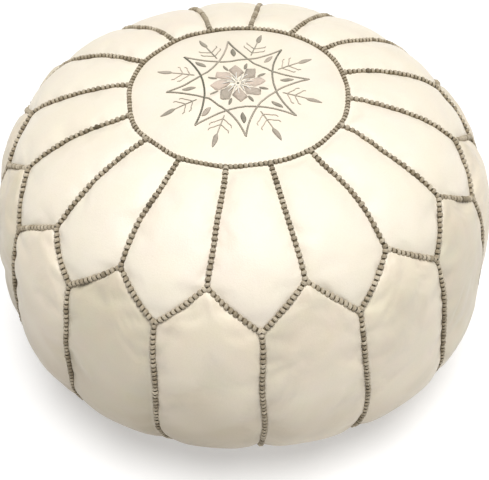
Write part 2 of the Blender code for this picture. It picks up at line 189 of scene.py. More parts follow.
RING = crown_length(MEDALLION_RADIUS)
VALLEY = crown_length(VALLEY_RADIUS)
TIP = crown_length(TIP_RADIUS)
BASE_SEAM = foot_length(BASE_SEAM_RADIUS)
ZIGZAG_SLOPE = (TIP - VALLEY) / (0.5 * (VALLEY_RADIUS + TIP_RADIUS) * HALF_SECTOR)
ZIGZAG_COSINE = 1 / math.hypot(1, ZIGZAG_SLOPE)


@lru_cache(maxsize=None)
def section(length):
    """Radius, height and outward direction of the outline at a length along it."""
    step = 0.0015
    radius, height = np.interp(length, LENGTHS, RADII), np.interp(length, LENGTHS, HEIGHTS)
    run = np.interp(length + step, LENGTHS, RADII) - np.interp(length - step, LENGTHS, RADII)
    rise = np.interp(length + step, LENGTHS, HEIGHTS) - np.interp(length - step, LENGTHS, HEIGHTS)
    size = np.hypot(run, rise)
    return radius, height, -rise / size, run / size


def slump(angle, height):
    """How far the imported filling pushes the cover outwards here, in metres."""
    total = 0.0
    for amount, bearing, middle in SLUMPS:
        turn = (angle - math.radians(bearing) + math.pi) % (2 * math.pi) - math.pi
        total += amount * math.exp(-((turn / SLUMP_SPREAD) ** 2) - ((height - middle) / SLUMP_RISE) ** 2)
    return total * (1 - math.exp(-max(height, 0.0) / 0.012))


def hand_wander(angle, length):
    """How far the sewing strays here, as (sideways, along) in metres. It closes on itself round the pouf."""
    place = Vector((2.6 * math.cos(angle), 2.6 * math.sin(angle), 16 * length))
    fade = min(1.0, max(0.0, (length - 0.05) / 0.08)) * min(1.0, max(0.0, (BASE_SEAM - length) / 0.05))
    sideways = noise.noise(place + Vector((31, 0, 0)))
    down = noise.noise(place + Vector((0, 57, 0)))
    return 2 * WANDER * sideways * fade, 2 * WANDER * down * fade


def cover_point(angle, length, lift=0.0):
    """A point on the cover, lifted along its outward direction."""
    sideways, down = hand_wander(angle, length)
    radius, height, out, up = section(length + down)
    radius += slump(angle, height) * min(1.0, radius / 0.2) ** 2
    angle += sideways / max(radius, 0.05)
    radius, height = radius + lift * out, height + lift * up
    return Vector((radius * math.sin(angle), -radius * math.cos(angle), height))


def cover_normal(angle, length):
    _, _, out, up = section(length)
    return Vector((out * math.sin(angle), -out * math.cos(angle), up))


def zigzag(angle):
    """Length along the outline of the zigzag seam. It is lowest at the petals' tips, at whole sectors."""
    offset = abs((angle / SECTOR + 0.5) % 1 - 0.5) * 2
    return TIP + (VALLEY - TIP) * offset


def rise(distance, reach=PUFF_REACH):
    return 1 - math.exp(-max(distance, 0.0) / reach)


def lip(distance):
    """The rounded top edge of a side panel, which stands a little prouder than the leather below it."""
    return rise(distance, 0.0035) * (1 + 0.52 * math.exp(-max(distance, 0.0) / 0.013))


def petal_lift(angle, length):
    """Stuffed height of a petal above its seams, from its distance to each of them."""
    offset = ((angle / SECTOR + 0.5) % 1 - 0.5) * SECTOR
    radius = float(section(length)[0])
    across = offset * radius
    half = HALF_SECTOR * radius
    to_left_leg = (TIP + ZIGZAG_SLOPE * across - length) * ZIGZAG_COSINE
    to_right_leg = (TIP - ZIGZAG_SLOPE * across - length) * ZIGZAG_COSINE
    full = rise(half - across) * rise(half + across) * rise(length - RING)
    full *= rise(to_left_leg) * rise(to_right_leg)
    return full * PETAL_PUFF - SEAM_SINK


def side_lift(angle, length):
    offset = ((angle / SECTOR) % 1 - 0.5) * SECTOR
    radius = float(section(length)[0])
    across = offset * radius
    half = HALF_SECTOR * radius
    below_left = (length - VALLEY + ZIGZAG_SLOPE * across) * ZIGZAG_COSINE
    below_right = (length - VALLEY - ZIGZAG_SLOPE * across) * ZIGZAG_COSINE
    full = rise(half - across) * rise(half + across) * rise(BASE_SEAM - length)
    full *= lip(below_left) * lip(below_right)
    return full * SIDE_PUFF - SEAM_SINK


def medallion_lift(length):
    """A quick rise at the seam, then a slow dome to the middle."""
    edge = 0.45 * rise(RING - length, 0.008)
    dome = 0.55 * math.cos(0.5 * math.pi * min(1.0, length / RING)) ** 1.3
    return MEDALLION_PUFF * (edge + dome) - SEAM_SINK


def creases(angle, length):
    """Shallow puckers that fan out from the corners where three seams meet, in metres."""
    total = 0.0
    nearest = round(angle / HALF_SECTOR)
    for corner in (nearest - 1, nearest, nearest + 1):
        corner_angle = corner * HALF_SECTOR
        corner_length = TIP if corner % 2 == 0 else VALLEY
        radius = float(section(corner_length)[0])
        across = ((angle - corner_angle + math.pi) % (2 * math.pi) - math.pi) * radius
        along = length - corner_length
        distance = math.hypot(across, along)
        if distance > 0.11:
            continue
        bearing = math.atan2(across, along)
        seed = Vector((corner * 3.7, 0.0, 0.0))
        count = 5 + 2 * noise.noise(seed)
        wave = math.sin(bearing * count + 6 * noise.noise(seed + Vector((9, 0, 0))) + 9 * distance)
        amplitude = 0.0007 * math.exp(-distance / 0.032) * min(1.0, distance / 0.012)
        total += amplitude * wave
    return total


def sag_waves(angle, length):
    """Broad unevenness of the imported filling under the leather."""
    place = Vector((2.2 * math.cos(angle), 2.2 * math.sin(angle), 9 * length))
    finer = Vector((6 * math.cos(angle), 6 * math.sin(angle), 26 * length))
    return 0.0018 * noise.noise(place) + 0.0007 * noise.noise(finer)


def fold_marks(angle, length):
    """Soft lines slantwise across a side panel, where the hide was once folded. Each panel has its own."""
    panel = math.floor(angle / SECTOR)
    slant = 0.75 + 0.9 * noise.noise(Vector((panel * 5.3, 2.1, 0.4)))
    across = (angle / SECTOR - panel - 0.5) * SECTOR * OUTER_RADIUS
    along_fold = across * math.cos(slant) - length * math.sin(slant)
    over_fold = across * math.sin(slant) + length * math.cos(slant)
    place = Vector((11 * along_fold, 34 * over_fold, 7.7 * panel))
    line = max(0.0, 1 - abs(noise.noise(place)) / 0.22)
    patch = Vector((16 * across, 16 * length, 3.1 * panel + 40))
    strength = max(0.0, noise.noise(patch) + 0.12)
    return -0.0070 * (line**2) * strength


# ---- Cover mesh ----
def eased(count):
    """Fractions from 0 to 1, closer together at both ends, where the leather turns down to a seam."""
    flat = np.linspace(0, 1, count + 1)
    return 0.45 * flat + 0.55 * (0.5 - 0.5 * np.cos(math.pi * flat))


def column_angles():
    half = eased(COLUMNS // 2) * HALF_SECTOR
    steps = [k * HALF_SECTOR + value for k in range(2 * SECTORS) for value in half[:-1]]
    return np.array(steps)


def cover_rows(angle):
    """Lengths of one column's points, from the medallion's seam to the base seam."""
    zig = zigzag(angle)
    petal = RING + (zig - RING) * eased(PETAL_ROWS)
    side = zig + (BASE_SEAM - zig) * eased(SIDE_ROWS)[1:]
    return np.concatenate([petal, side])


ROWS = 1 + PETAL_ROWS + SIDE_ROWS
ZIGZAG_ROW = PETAL_ROWS
ANGLES = column_angles()
COLUMN_COUNT = len(ANGLES)


def full_lift(row, angle, length):
    return petal_lift(angle, length) if row <= ZIGZAG_ROW else side_lift(angle, length)


def on_seam(row, column):
    """Whether a grid point lies on a seam. Tips are at even half sectors and radial seams at odd ones."""
    if row in (0, ZIGZAG_ROW, ROWS - 1):
        return True
    half, step = divmod(column, COLUMNS // 2)
    if step:
        return False
    return half % 2 == 1 if row < ZIGZAG_ROW else half % 2 == 0


def cover_grid():
    """Positions of the cover's plain surface, its normals, and the lift that each point has when filled."""
    points = np.zeros((COLUMN_COUNT, ROWS, 3))
    normals = np.zeros((COLUMN_COUNT, ROWS, 3))
    lifts = np.zeros((COLUMN_COUNT, ROWS))
    for column, angle in enumerate(ANGLES):
        for row, length in enumerate(cover_rows(angle)):
            points[column, row] = cover_point(angle, length)
            normals[column, row] = cover_normal(angle, length)
            lift = full_lift(row, angle, length)
            if not on_seam(row, column):
                fade = rise(lift + SEAM_SINK, 0.002)
                lift += (creases(angle, length) + sag_waves(angle, length)) * fade
                if row > ZIGZAG_ROW:
                    lift += fold_marks(angle, length) * fade
            lifts[column, row] = lift
    return points, normals, lifts


def grid_faces():
    faces = []
    for column in range(COLUMN_COUNT):
        following = (column + 1) % COLUMN_COUNT
        for row in range(ROWS - 1):
            a, b = column * ROWS + row, following * ROWS + row
            faces.append((a, a + 1, b + 1, b))
    return faces


def inflate(points, normals, lifts):
    """Cloth under pressure, held along every seam. Returns where each point has moved to."""
    start = points + normals * (lifts * CLOTH_START)[..., None]
    seams = []
    for column in range(COLUMN_COUNT):
        for row in range(ROWS):
            if on_seam(row, column):
                seams.append(column * ROWS + row)
                start[column, row] = points[column, row] + normals[column, row] * lifts[column, row]
    mesh = bpy.data.meshes.new("inflating_cover")
    mesh.from_pydata(start.reshape(-1, 3).tolist(), [], grid_faces())
    cloth_object = link_new("inflating_cover", mesh)
    held = cloth_object.vertex_groups.new(name="held")
    held.add(seams, 1.0, "REPLACE")
    cloth = cloth_object.modifiers.new("cloth", "CLOTH")
    settings = cloth.settings
    settings.quality = 6
    settings.mass = 0.4
    settings.tension_stiffness = 18
    settings.compression_stiffness = 18
    settings.shear_stiffness = 8
    settings.bending_stiffness = 1.2
    settings.vertex_group_mass = "held"
    settings.use_pressure = True
    settings.uniform_pressure_force = 6
    settings.shrink_min = -0.03
    settings.effector_weights.gravity = 0
    cloth.collision_settings.use_collision = False
    cloth.point_cache.frame_start = 1
    cloth.point_cache.frame_end = CLOTH_FRAMES
    for step in range(1, CLOTH_FRAMES + 1):
        scene.frame_set(step)
    evaluated = cloth_object.evaluated_get(bpy.context.evaluated_depsgraph_get())
    flat = np.empty(len(evaluated.data.vertices) * 3)
    evaluated.data.vertices.foreach_get("co", flat)
    moved = flat.reshape(points.shape)
    scene.frame_set(1)
    bpy.data.objects.remove(cloth_object, do_unlink=True)
    bpy.data.meshes.remove(mesh)
    return moved


def finished_cover():
    points, normals, lifts = cover_grid()
    moved = inflate(points, normals, lifts)
    out = ((moved - points) * normals).sum(-1)
    slide = moved - points - normals * out[..., None]
    slide_size = np.linalg.norm(slide, axis=-1)[..., None]
    slide *= np.minimum(1.0, CLOTH_SLIDE / np.maximum(slide_size, 1e-9))
    calm = np.full(ROWS, SIDE_CALM)
    calm[:ZIGZAG_ROW] = PETAL_CALM
    out = lifts + np.clip((out - lifts) * (1 - calm), -CLOTH_REACH, CLOTH_REACH)
    return points + slide + normals * out[..., None]


# ---- Materials ----
class Look:
    """A material and its nodes, in the object's own coordinates. Methods take and return sockets."""

    def __init__(self, name, roughness=None, **shader_values):
        self.material = bpy.data.materials.new(name)
        self.material.use_nodes = True
        self.nodes, self.links = self.material.node_tree.nodes, self.material.node_tree.links
        self.shader = self.nodes["Principled BSDF"]
        if roughness is not None:
            self.shader.inputs["Roughness"].default_value = roughness
        for socket, value in shader_values.items():
            self.shader.inputs[socket.replace("_", " ")].default_value = value

    @cached_property
    def place(self):
        return self.nodes.new("ShaderNodeTexCoord").outputs["Object"]

    def node(self, kind, **values):
        """A node, with inputs set from values: numbers, tuples or sockets. Underscores stand for spaces."""
        node = self.nodes.new(kind)
        for name, value in values.items():
            socket = node.inputs[name.replace("_", " ")]
            if isinstance(value, bpy.types.NodeSocket):
                self.links.new(value, socket)
            else:
                socket.default_value = value
        return node

    def noise(self, scale, detail=3.0, roughness=0.5, distortion=0.0):
        values = {"Scale": scale, "Detail": detail, "Roughness": roughness, "Distortion": distortion}
        return self.node("ShaderNodeTexNoise", Vector=self.place, **values).outputs

    def ramp(self, source, stops):
        node = self.node("ShaderNodeValToRGB", Fac=source)
        ramp = node.color_ramp
        while len(ramp.elements) < len(stops):
            ramp.elements.new(0.5)
        for element, (position, colour) in zip(ramp.elements, stops):
            element.position = position
            element.color = (*colour, 1.0)
        return node.outputs["Color"]

    def mix(self, factor, first, second, blend="MIX"):
        node = self.nodes.new("ShaderNodeMix")
        node.data_type = "RGBA"
        node.blend_type = blend
        for socket, value in (("Factor", factor), ("A", first), ("B", second)):
            slot = next(s for s in node.inputs if s.name == socket and s.enabled)
            if isinstance(value, bpy.types.NodeSocket):
                self.links.new(value, slot)
            else:
                slot.default_value = (*value, 1.0) if isinstance(value, tuple) else value
        return next(s for s in node.outputs if s.enabled)

    def scaled(self, source, lowest, highest, start=0.0, end=1.0):
        """The source's range from start to end, mapped from lowest to highest."""
        values = {"From_Min": start, "From_Max": end, "To_Min": lowest, "To_Max": highest}
        return self.node("ShaderNodeMapRange", Value=source, **values).outputs["Result"]

    def maths(self, operation, first, second, third=0.0, kind="ShaderNodeMath"):
        node = self.nodes.new(kind)
        node.operation = operation
        for slot, value in zip(node.inputs, (first, second, third)):
            if isinstance(value, bpy.types.NodeSocket):
                self.links.new(value, slot)
            else:
                slot.default_value = value
        return node.outputs["Value"]

    def attribute(self, name):
        node = self.nodes.new("ShaderNodeAttribute")
        node.attribute_name = name
        return node.outputs["Fac"]

    def finish(self, colour, layers, roughness=None):
        """Sets the colour and the bumps: (height, strength, distance), each on top of the one before."""
        self.links.new(colour, self.shader.inputs["Base Color"])
        if roughness is not None:
            self.links.new(roughness, self.shader.inputs["Roughness"])
        normal = {}
        for height, strength, distance in layers:
            bump = self.node("ShaderNodeBump", Height=height, Strength=strength, Distance=distance, **normal)
            normal = {"Normal": bump.outputs["Normal"]}
        self.links.new(normal["Normal"], self.shader.inputs["Normal"])
        return self.material


# Painted shade: low down and on the left, away from the light, the leather is darkened towards this brown.
PAINTED_LOW_SHADE = (0.30, 0.24, 0.16)
# Painted light: the leather next to every seam is lightened towards this, against the shade along the welts.
SEAM_PAINTED_LIGHT = (0.95, 0.90, 0.80)   # beside the seams


def leather_material(name, light, deep, tint, darkest_tone_and_shade, smudge_and_low_shade=0.0):
    """Goat leather: pebbled grain, fine creases, mottled dye, satin face.

    The darkest tone is the darkest a panel may be: its hide's own tone, and on the side panels painted shade
    as well. The last number sets how strong the random smudges are and how far the leather is painted darker
    towards the floor and on the left, as shade.
    """
    look = Look(name, Specular_IOR_Level=0.42, Sheen_Weight=0.06)
    broad = look.noise(7.0, 2.0)["Fac"]
    clouds = look.noise(38.0, 4.0, 0.6)
    wrinkle = look.noise(210.0, 6.0, 0.62, 1.4)["Fac"]
    smudges = look.noise(12.0, 5.0, 0.55, 0.8)["Fac"]
    grain = look.node("ShaderNodeTexVoronoi", Vector=look.place, Scale=950.0)
    grain.feature = "SMOOTH_F1"
    pores = look.ramp(grain.outputs["Distance"], [(0.0, (0.93, 0.92, 0.90)), (0.5, (1, 1, 1))])

    colour = look.ramp(broad, [(0.30, deep), (0.50, light), (0.72, tint)])
    colour = look.mix(look.attribute("hide"), colour, darkest_tone_and_shade)
    patches = look.ramp(smudges, [(0.47, (0, 0, 0)), (0.66, (1, 1, 1))])
    smudge = look.maths("MULTIPLY", patches, 0.10 + 0.50 * smudge_and_low_shade)
    colour = look.mix(smudge, colour, tuple(c * 0.72 for c in deep))
    colour = look.mix(0.14, colour, clouds["Color"], "SOFT_LIGHT")
    colour = look.mix(0.5, colour, pores, "MULTIPLY")

    # Painted shade: darker towards the floor and on the left, away from the light, unevenly with the broad
    # mottling.
    height = look.maths("DOT_PRODUCT", look.place, (0.20, 0.0, 1.0), (0, 0, 0), "ShaderNodeVectorMath")
    shade_height = look.maths("MULTIPLY_ADD", broad, 0.16, height)
    low = look.scaled(shade_height, 0.0, smudge_and_low_shade, start=0.25, end=0.09)
    colour = look.mix(low, colour, PAINTED_LOW_SHADE)
    # Painted light beside the seams.
    colour = look.mix(look.attribute("seam"), colour, SEAM_PAINTED_LIGHT)
    layers = [(wrinkle, 0.35, 0.0006), (grain.outputs["Distance"], 0.30, 0.00025)]
    return look.finish(colour, layers, look.scaled(clouds["Fac"], 0.38, 0.56))


def thread_material(name, dark, middle, light):
    """Twisted thread, coloured from its tone attribute, with ply lines across it. For the welt stitches that
    tone also holds painted light and shade.
    """
    look = Look(name, 0.72, Specular_IOR_Level=0.25, Sheen_Weight=0.25, Sheen_Roughness=0.5)
    fibre = look.noise(2600.0, 3.0, 0.7, 2.0)
    colour = look.ramp(look.attribute("tone"), [(0.0, dark), (0.5, middle), (1.0, light)])
    colour = look.mix(0.35, colour, fibre["Color"], "SOFT_LIGHT")
    return look.finish(colour, [(fibre["Fac"], 0.6, 0.0003)])


def brass_material():
    """Aged brass: bright, and tarnished brown in patches, with fine scratches."""
    look = Look("aged_brass", Metallic=1.0)
    patches = look.noise(420.0, 4.0, 0.6)["Fac"]
    scratch = look.noise(1900.0, 2.0, 0.8, 4.0)["Fac"]
    tones = [(0.35, (0.24, 0.16, 0.07)), (0.55, (0.56, 0.42, 0.19)), (0.8, (0.70, 0.56, 0.30))]
    colour = look.ramp(patches, tones)
    return look.finish(colour, [(scratch, 0.15, 0.0001)], look.scaled(patches, 0.48, 0.24))


def cloth_material(name, colour, shade, thread, fuzz):
    """Woven cloth: two sets of threads, thread metres apart, with slubs and a little fuzz."""
    look = Look(name, 0.9, Sheen_Weight=fuzz, Sheen_Roughness=0.6)
    turned = look.node("ShaderNodeMapping", Vector=look.place, Rotation=(0.4, 0.7, 0.8)).outputs["Vector"]
    sets = []
    for axis in ("X", "Y"):
        values = {"Scale": 0.314 / thread, "Distortion": 0.6, "Detail_Scale": 40.0}
        wave = look.node("ShaderNodeTexWave", Vector=turned, **values)
        wave.bands_direction = axis
        sets.append(wave.outputs["Color"])
    weave = look.mix(1.0, sets[0], sets[1], "DIFFERENCE")
    slubs = look.noise(60.0, 5.0, 0.7)["Fac"]
    woven = look.mix(0.35, look.ramp(slubs, [(0.3, shade), (0.65, colour)]), weave, "SOFT_LIGHT")
    return look.finish(woven, [(slubs, 0.3, 0.001), (weave, 0.5, 0.0003)])


def batting_material():
    """Cotton batting: tangled pale fibres, painted darker in the hollows between its tufts, as shade."""
    look = Look("cotton_batting", 0.95, Sheen_Weight=0.5)
    tufts = look.noise(55.0, 5.0, 0.65, 1.5)["Fac"]
    fibre = look.noise(900.0, 4.0, 0.8, 6.0)
    # Painted shade: darker where the tufts' bump is low.
    colour = look.ramp(tufts, [(0.3, (0.60, 0.57, 0.51)), (0.6, (0.82, 0.80, 0.75))])
    colour = look.mix(0.3, colour, fibre["Color"], "SOFT_LIGHT")
    return look.finish(colour, [(tufts, 0.6, 0.004), (fibre["Fac"], 0.5, 0.0005)])


CREAM = leather_material(
    "cream_leather", (0.91, 0.845, 0.715), (0.88, 0.80, 0.66), (0.92, 0.825, 0.71), (0.86, 0.79, 0.66)
)
# Side leather: a darker copy of the cream, which paints shade on the side panels and the base; its darkest
# tone and its darkening towards the floor are painted shade too.
SHADED_SIDE_CREAM = leather_material(
    "side_leather", (0.89, 0.80, 0.655), (0.85, 0.765, 0.61), (0.89, 0.785, 0.635), (0.66, 0.59, 0.455), 0.95
)
WELT_THREAD = thread_material("welt_thread", (0.11, 0.085, 0.048), (0.36, 0.30, 0.21), (0.60, 0.53, 0.41))
# Painted shadow: the ridge under the stitches is near-black brown, standing for the shade in the gaps between
# stitches as well as for the leather's edge.
RIDGE_WITH_PAINTED_SHADOW = leather_material(
    "welt_edge_leather", (0.13, 0.10, 0.05), (0.09, 0.07, 0.036), (0.15, 0.11, 0.06), (0.12, 0.09, 0.05)
)
EMBROIDERY = thread_material("embroidery", (0.14, 0.14, 0.10), (0.45, 0.405, 0.33), (0.77, 0.645, 0.545))
PALE_THREAD = thread_material("pale_thread", (0.80, 0.76, 0.68), (0.88, 0.84, 0.76), (0.92, 0.90, 0.84))
BRASS = brass_material()
TAPE_CLOTH = cloth_material("woven_zip_tape", (0.66, 0.60, 0.50), (0.56, 0.50, 0.40), 0.0007, 0.2)
COTTON = cloth_material("cotton_lining", (0.76, 0.72, 0.64), (0.66, 0.62, 0.54), 0.0009, 0.3)
BATTING = batting_material()


# ---- Mesh helpers ----
def link_new(name, data):
    made = bpy.data.objects.new(name, data)
    scene.collection.objects.link(made)
    return made


def new_object(name, vertices, faces, material, smooth=True, **attributes):
    """A mesh object. Each attribute is a list with a number for each vertex."""
    mesh = bpy.data.meshes.new(name)
    mesh.from_pydata([tuple(v) for v in vertices], [], faces)
    mesh.materials.append(material)
    for key, values in attributes.items():
        layer = mesh.attributes.new(key, "FLOAT", "POINT")
        layer.data.foreach_set("value", np.asarray(values, dtype=np.float32))
    if smooth:
        mesh.shade_smooth()
    return link_new(name, mesh)


def mesh_from(bm, name):
    mesh = bpy.data.meshes.new(name)
    bm.to_mesh(mesh)
    bm.free()
    return mesh


def quads(columns, rows, flip=False):
    """The faces of a grid of points that are listed column by column."""
    faces = []
    for column in range(columns - 1):
        for row in range(rows - 1):
            a = column * rows + row
            face = (a, a + 1, a + rows + 1, a + rows)
            faces.append(face[::-1] if flip else face)
    return faces


def thicken(piece, thickness):
    """Thickness inwards from the mesh."""
    shell = piece.modifiers.new("thickness", "SOLIDIFY")
    shell.thickness = thickness
    shell.offset = -1


def subdivide(piece):
    smooth = piece.modifiers.new("smooth", "SUBSURF")
    smooth.levels = 1
    smooth.render_levels = 1
    return smooth


def ride_as(piece, body, node):
    """Fastens a piece to a body, in place of a CAD node, which it hides."""
    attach(piece, body)
    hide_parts(node)


def tubes(centres, firsts, seconds, radii, sides=6):
    """Closed tubes along many short routes at once.

    centres, firsts and seconds are (tube, step, 3): points, and the two directions across the tube. radii is
    (tube, step, 2), along those directions. Each tube ends in a cap.
    """
    count, steps, _ = centres.shape
    turn = np.arange(sides) * 2 * math.pi / sides
    ring = (
        centres[:, :, None, :]
        + firsts[:, :, None, :] * (np.cos(turn)[None, None, :, None] * radii[:, :, None, 0:1])
        + seconds[:, :, None, :] * (np.sin(turn)[None, None, :, None] * radii[:, :, None, 1:2])
    )
    vertices = ring.reshape(-1, 3)
    one = []
    for step in range(steps - 1):
        for side in range(sides):
            a = step * sides + side
            b = step * sides + (side + 1) % sides
            one.append((a, b, b + sides, a + sides))
    caps = [tuple(range(sides - 1, -1, -1)), tuple(range((steps - 1) * sides, steps * sides))]
    faces = []
    for tube in range(count):
        base = tube * steps * sides
        faces += [tuple(i + base for i in face) for face in one + caps]
    return vertices, faces


def resample(points, normals, pitch, offset=0.5):
    """Places at an even pitch along a route: positions, tangents, normals."""
    points, normals = np.array(points), np.array(normals)
    lengths = np.concatenate([[0], np.cumsum(np.linalg.norm(np.diff(points, axis=0), axis=1))])
    count = max(1, round(lengths[-1] / pitch))
    at = (np.arange(count) + offset) * lengths[-1] / count
    place = np.stack([np.interp(at, lengths, points[:, i]) for i in range(3)], -1)
    ahead = np.stack([np.interp(at + 0.0006, lengths, points[:, i]) for i in range(3)], -1)
    behind = np.stack([np.interp(at - 0.0006, lengths, points[:, i]) for i in range(3)], -1)
    normal = np.stack([np.interp(at, lengths, normals[:, i]) for i in range(3)], -1)
    tangent = ahead - behind
    tangent /= np.linalg.norm(tangent, axis=1)[:, None]
    normal -= tangent * (normal * tangent).sum(1)[:, None]
    normal /= np.linalg.norm(normal, axis=1)[:, None]
    return place, tangent, normal


# ---- Leather panels ----
def panel_object(name, cover, columns, rows, node):
    """One leather panel from a block of the cover's grid, with its edges marked as seam, where the leather is
    painted lighter.
    """
    block = cover[np.ix_([c % COLUMN_COUNT for c in columns], rows)]
    width, height = len(columns), len(rows)
    seam = np.zeros((width, height))
    for i in range(width):
        for j in range(height):
            edge = min(i, width - 1 - i, j, height - 1 - j)
            seam[i, j] = (1.0, 0.25)[edge] if edge < 2 else 0.0
    material = SHADED_SIDE_CREAM if node.startswith("side") else CREAM
    panel = new_object(name, block.reshape(-1, 3), quads(width, height), material, seam=seam.ravel())
    finish_leather(panel, node)


def finish_leather(panel, node, smoother=True):
    hide = panel.data.attributes.new("hide", "FLOAT", "POINT")
    if node.startswith("side_panel"):
        shade = SIDE_TONES_AND_SHADE[int(node[-2:]) - 1]
    else:
        shade = random.Random(panel.name).uniform(0.0, 0.5)
    hide.data.foreach_set("value", [shade] * len(panel.data.vertices))
    if smoother:
        subdivide(panel).boundary_smooth = "PRESERVE_CORNERS"
    thicken(panel, LEATHER)
    ride_as(panel, "cover", node)


def make_panels(cover):
    half = COLUMNS // 2
    petal_rows = list(range(ZIGZAG_ROW + 1))
    side_rows = list(range(ZIGZAG_ROW, ROWS))
    for index in range(SECTORS):
        middle = index * COLUMNS
        petal_columns = range(middle - half, middle + half + 1)
        side_columns = range(middle, middle + COLUMNS + 1)
        number = f"{index + 1:02d}"
        panel_object("petal_leather_" + number, cover, petal_columns, petal_rows, "petal_" + number)
        panel_object("side_leather_" + number, cover, side_columns, side_rows, "side_panel_" + number)


def make_medallion():
    """The medallion has rings of its own, crowded towards its seam, round a centre point."""
    columns, rows = 8 * SECTORS, 26
    lengths = RING * np.sin(0.5 * math.pi * np.arange(1, rows + 1) / rows)
    vertices, faces, seam = [], [], []
    for column in range(columns):
        angle = column * 2 * math.pi / columns
        for row, length in enumerate(lengths):
            lift = medallion_lift(length)
            if row < rows - 1:
                lift += sag_waves(angle, length) * rise(RING - length)
            vertices.append(cover_point(angle, length, lift))
            seam.append(1.0 if row == rows - 1 else 0.0)
    centre = sum((vertices[column * rows] for column in range(columns)), Vector()) / columns
    vertices.append(centre)
    seam.append(0.0)
    for column in range(columns):
        following = (column + 1) % columns
        faces.append((columns * rows, column * rows, following * rows))
        for row in range(rows - 1):
            a, b = column * rows + row, following * rows + row
            faces.append((a, a + 1, b + 1, b))
    medallion = new_object("medallion_leather", vertices, faces, CREAM, seam=seam)
    finish_leather(medallion, "top_medallion", smoother=False)
    return medallion


# ---- Whipstitched seams ----
STITCH_STEPS = 6
STITCH_SIDES = 5


def whipstitches(routes, rng, pitch=STITCH_PITCH, slant=0.25, size=1.0):
    """Stitches wrapped over the ridge of two leather edges, each a bundle of strands, in one mesh."""
    places, tangents, normals = [np.concatenate(x) for x in zip(*[resample(*r, pitch) for r in routes])]
    count = len(places)
    lean = pitch * (slant + rng.uniform(-0.07, 0.07, count))
    plump = size * rng.uniform(0.92, 1.07, count)
    shade = np.clip(rng.normal(0.62, 0.16, count), 0, 1)
    strand = np.tile(np.arange(STRANDS) - (STRANDS - 1) / 2, count)
    places, tangents, normals, lean, plump, shade = [
        np.repeat(x, STRANDS, axis=0) for x in (places, tangents, normals, lean, plump, shade)
    ]
    places = places + tangents * (strand * STRAND_STEP * plump)[:, None]
    sides = np.cross(tangents, normals)
    arc = np.linspace(-1.0, 1.0, STITCH_STEPS)
    swing = arc * math.radians(100)
    bulge = plump * (1 - 0.07 * np.abs(strand)) * rng.uniform(0.95, 1.05, len(strand))
    local_x = (WELT_HALF_WIDTH * bulge)[:, None] * np.sin(swing)
    local_z = (WELT_HEIGHT * bulge)[:, None] * np.cos(swing)
    local_t = lean[:, None] * arc
    centres = (
        places[:, None]
        + sides[:, None] * local_x[..., None]
        + normals[:, None] * local_z[..., None]
        + tangents[:, None] * local_t[..., None]
    )
    forward = np.gradient(centres, axis=1)
    forward /= np.linalg.norm(forward, axis=2)[..., None]
    outward = centres - (places - normals * 0.001)[:, None]
    outward -= forward * (outward * forward).sum(2)[..., None]
    outward /= np.linalg.norm(outward, axis=2)[..., None]
    across = np.cross(forward, outward)
    radius = (STRAND_RADIUS * plump)[:, None] * (1 - 0.3 * np.abs(arc) ** 3)
    radii = np.stack([radius, radius * 1.1], -1)
    vertices, faces = tubes(centres, outward, across, radii, STITCH_SIDES)
    # Painted light: each stitch is lighter at its crest and darker at its ends, where it dips between the
    # leather edges, on top of its own random tone.
    tone = shade[:, None] + rng.uniform(-0.08, 0.08, (len(strand), 1)) + 0.30 * (np.cos(swing) - 0.6)
    tone = np.repeat(np.clip(tone, 0, 1).ravel(), STITCH_SIDES)
    return vertices, faces, tone


def ridge(routes, radius=0.0019):
    """The leather edges under the stitches, as one tube per route. Their dark brown also paints the shadow in
    the gaps between the stitches.
    """
    vertices, faces = [], []
    for points, normals in routes:
        place, tangent, normal = resample(points, normals, 0.004, 0.0)
        side = np.cross(tangent, normal)
        radii = np.full((1, len(place), 2), radius)
        tube_vertices, tube_faces = tubes(place[None], normal[None], side[None], radii, 8)
        offset = len(vertices)
        vertices += tube_vertices.tolist()
        faces += [tuple(i + offset for i in face) for face in tube_faces]
    return vertices, faces


def seam_route(stops, steps):
    """A route along the cover through (angle, length) stops, as (points, normals)."""
    points, normals = [], []
    for (angle_a, length_a), (angle_b, length_b) in zip(stops, stops[1:]):
        for step in range(steps):
            t = step / steps
            angle, length = angle_a + (angle_b - angle_a) * t, length_a + (length_b - length_a) * t
            points.append(cover_point(angle, length, WELT_LIFT))
            normals.append(cover_normal(angle, length))
    angle, length = stops[-1]
    points.append(cover_point(angle, length, WELT_LIFT))
    normals.append(cover_normal(angle, length))
    return points, normals


def seam_pieces(name, routes, node, rng, **options):
    vertices, faces, tone = whipstitches(routes, rng, **options)
    stitches = new_object(name + "_stitches", vertices, faces, WELT_THREAD, tone=tone)
    core_vertices, core_faces = ridge(routes)
    core = new_object(name + "_ridge", core_vertices, core_faces, RIDGE_WITH_PAINTED_SHADOW)
    for piece in (stitches, core):
        ride_as(piece, "cover", node)


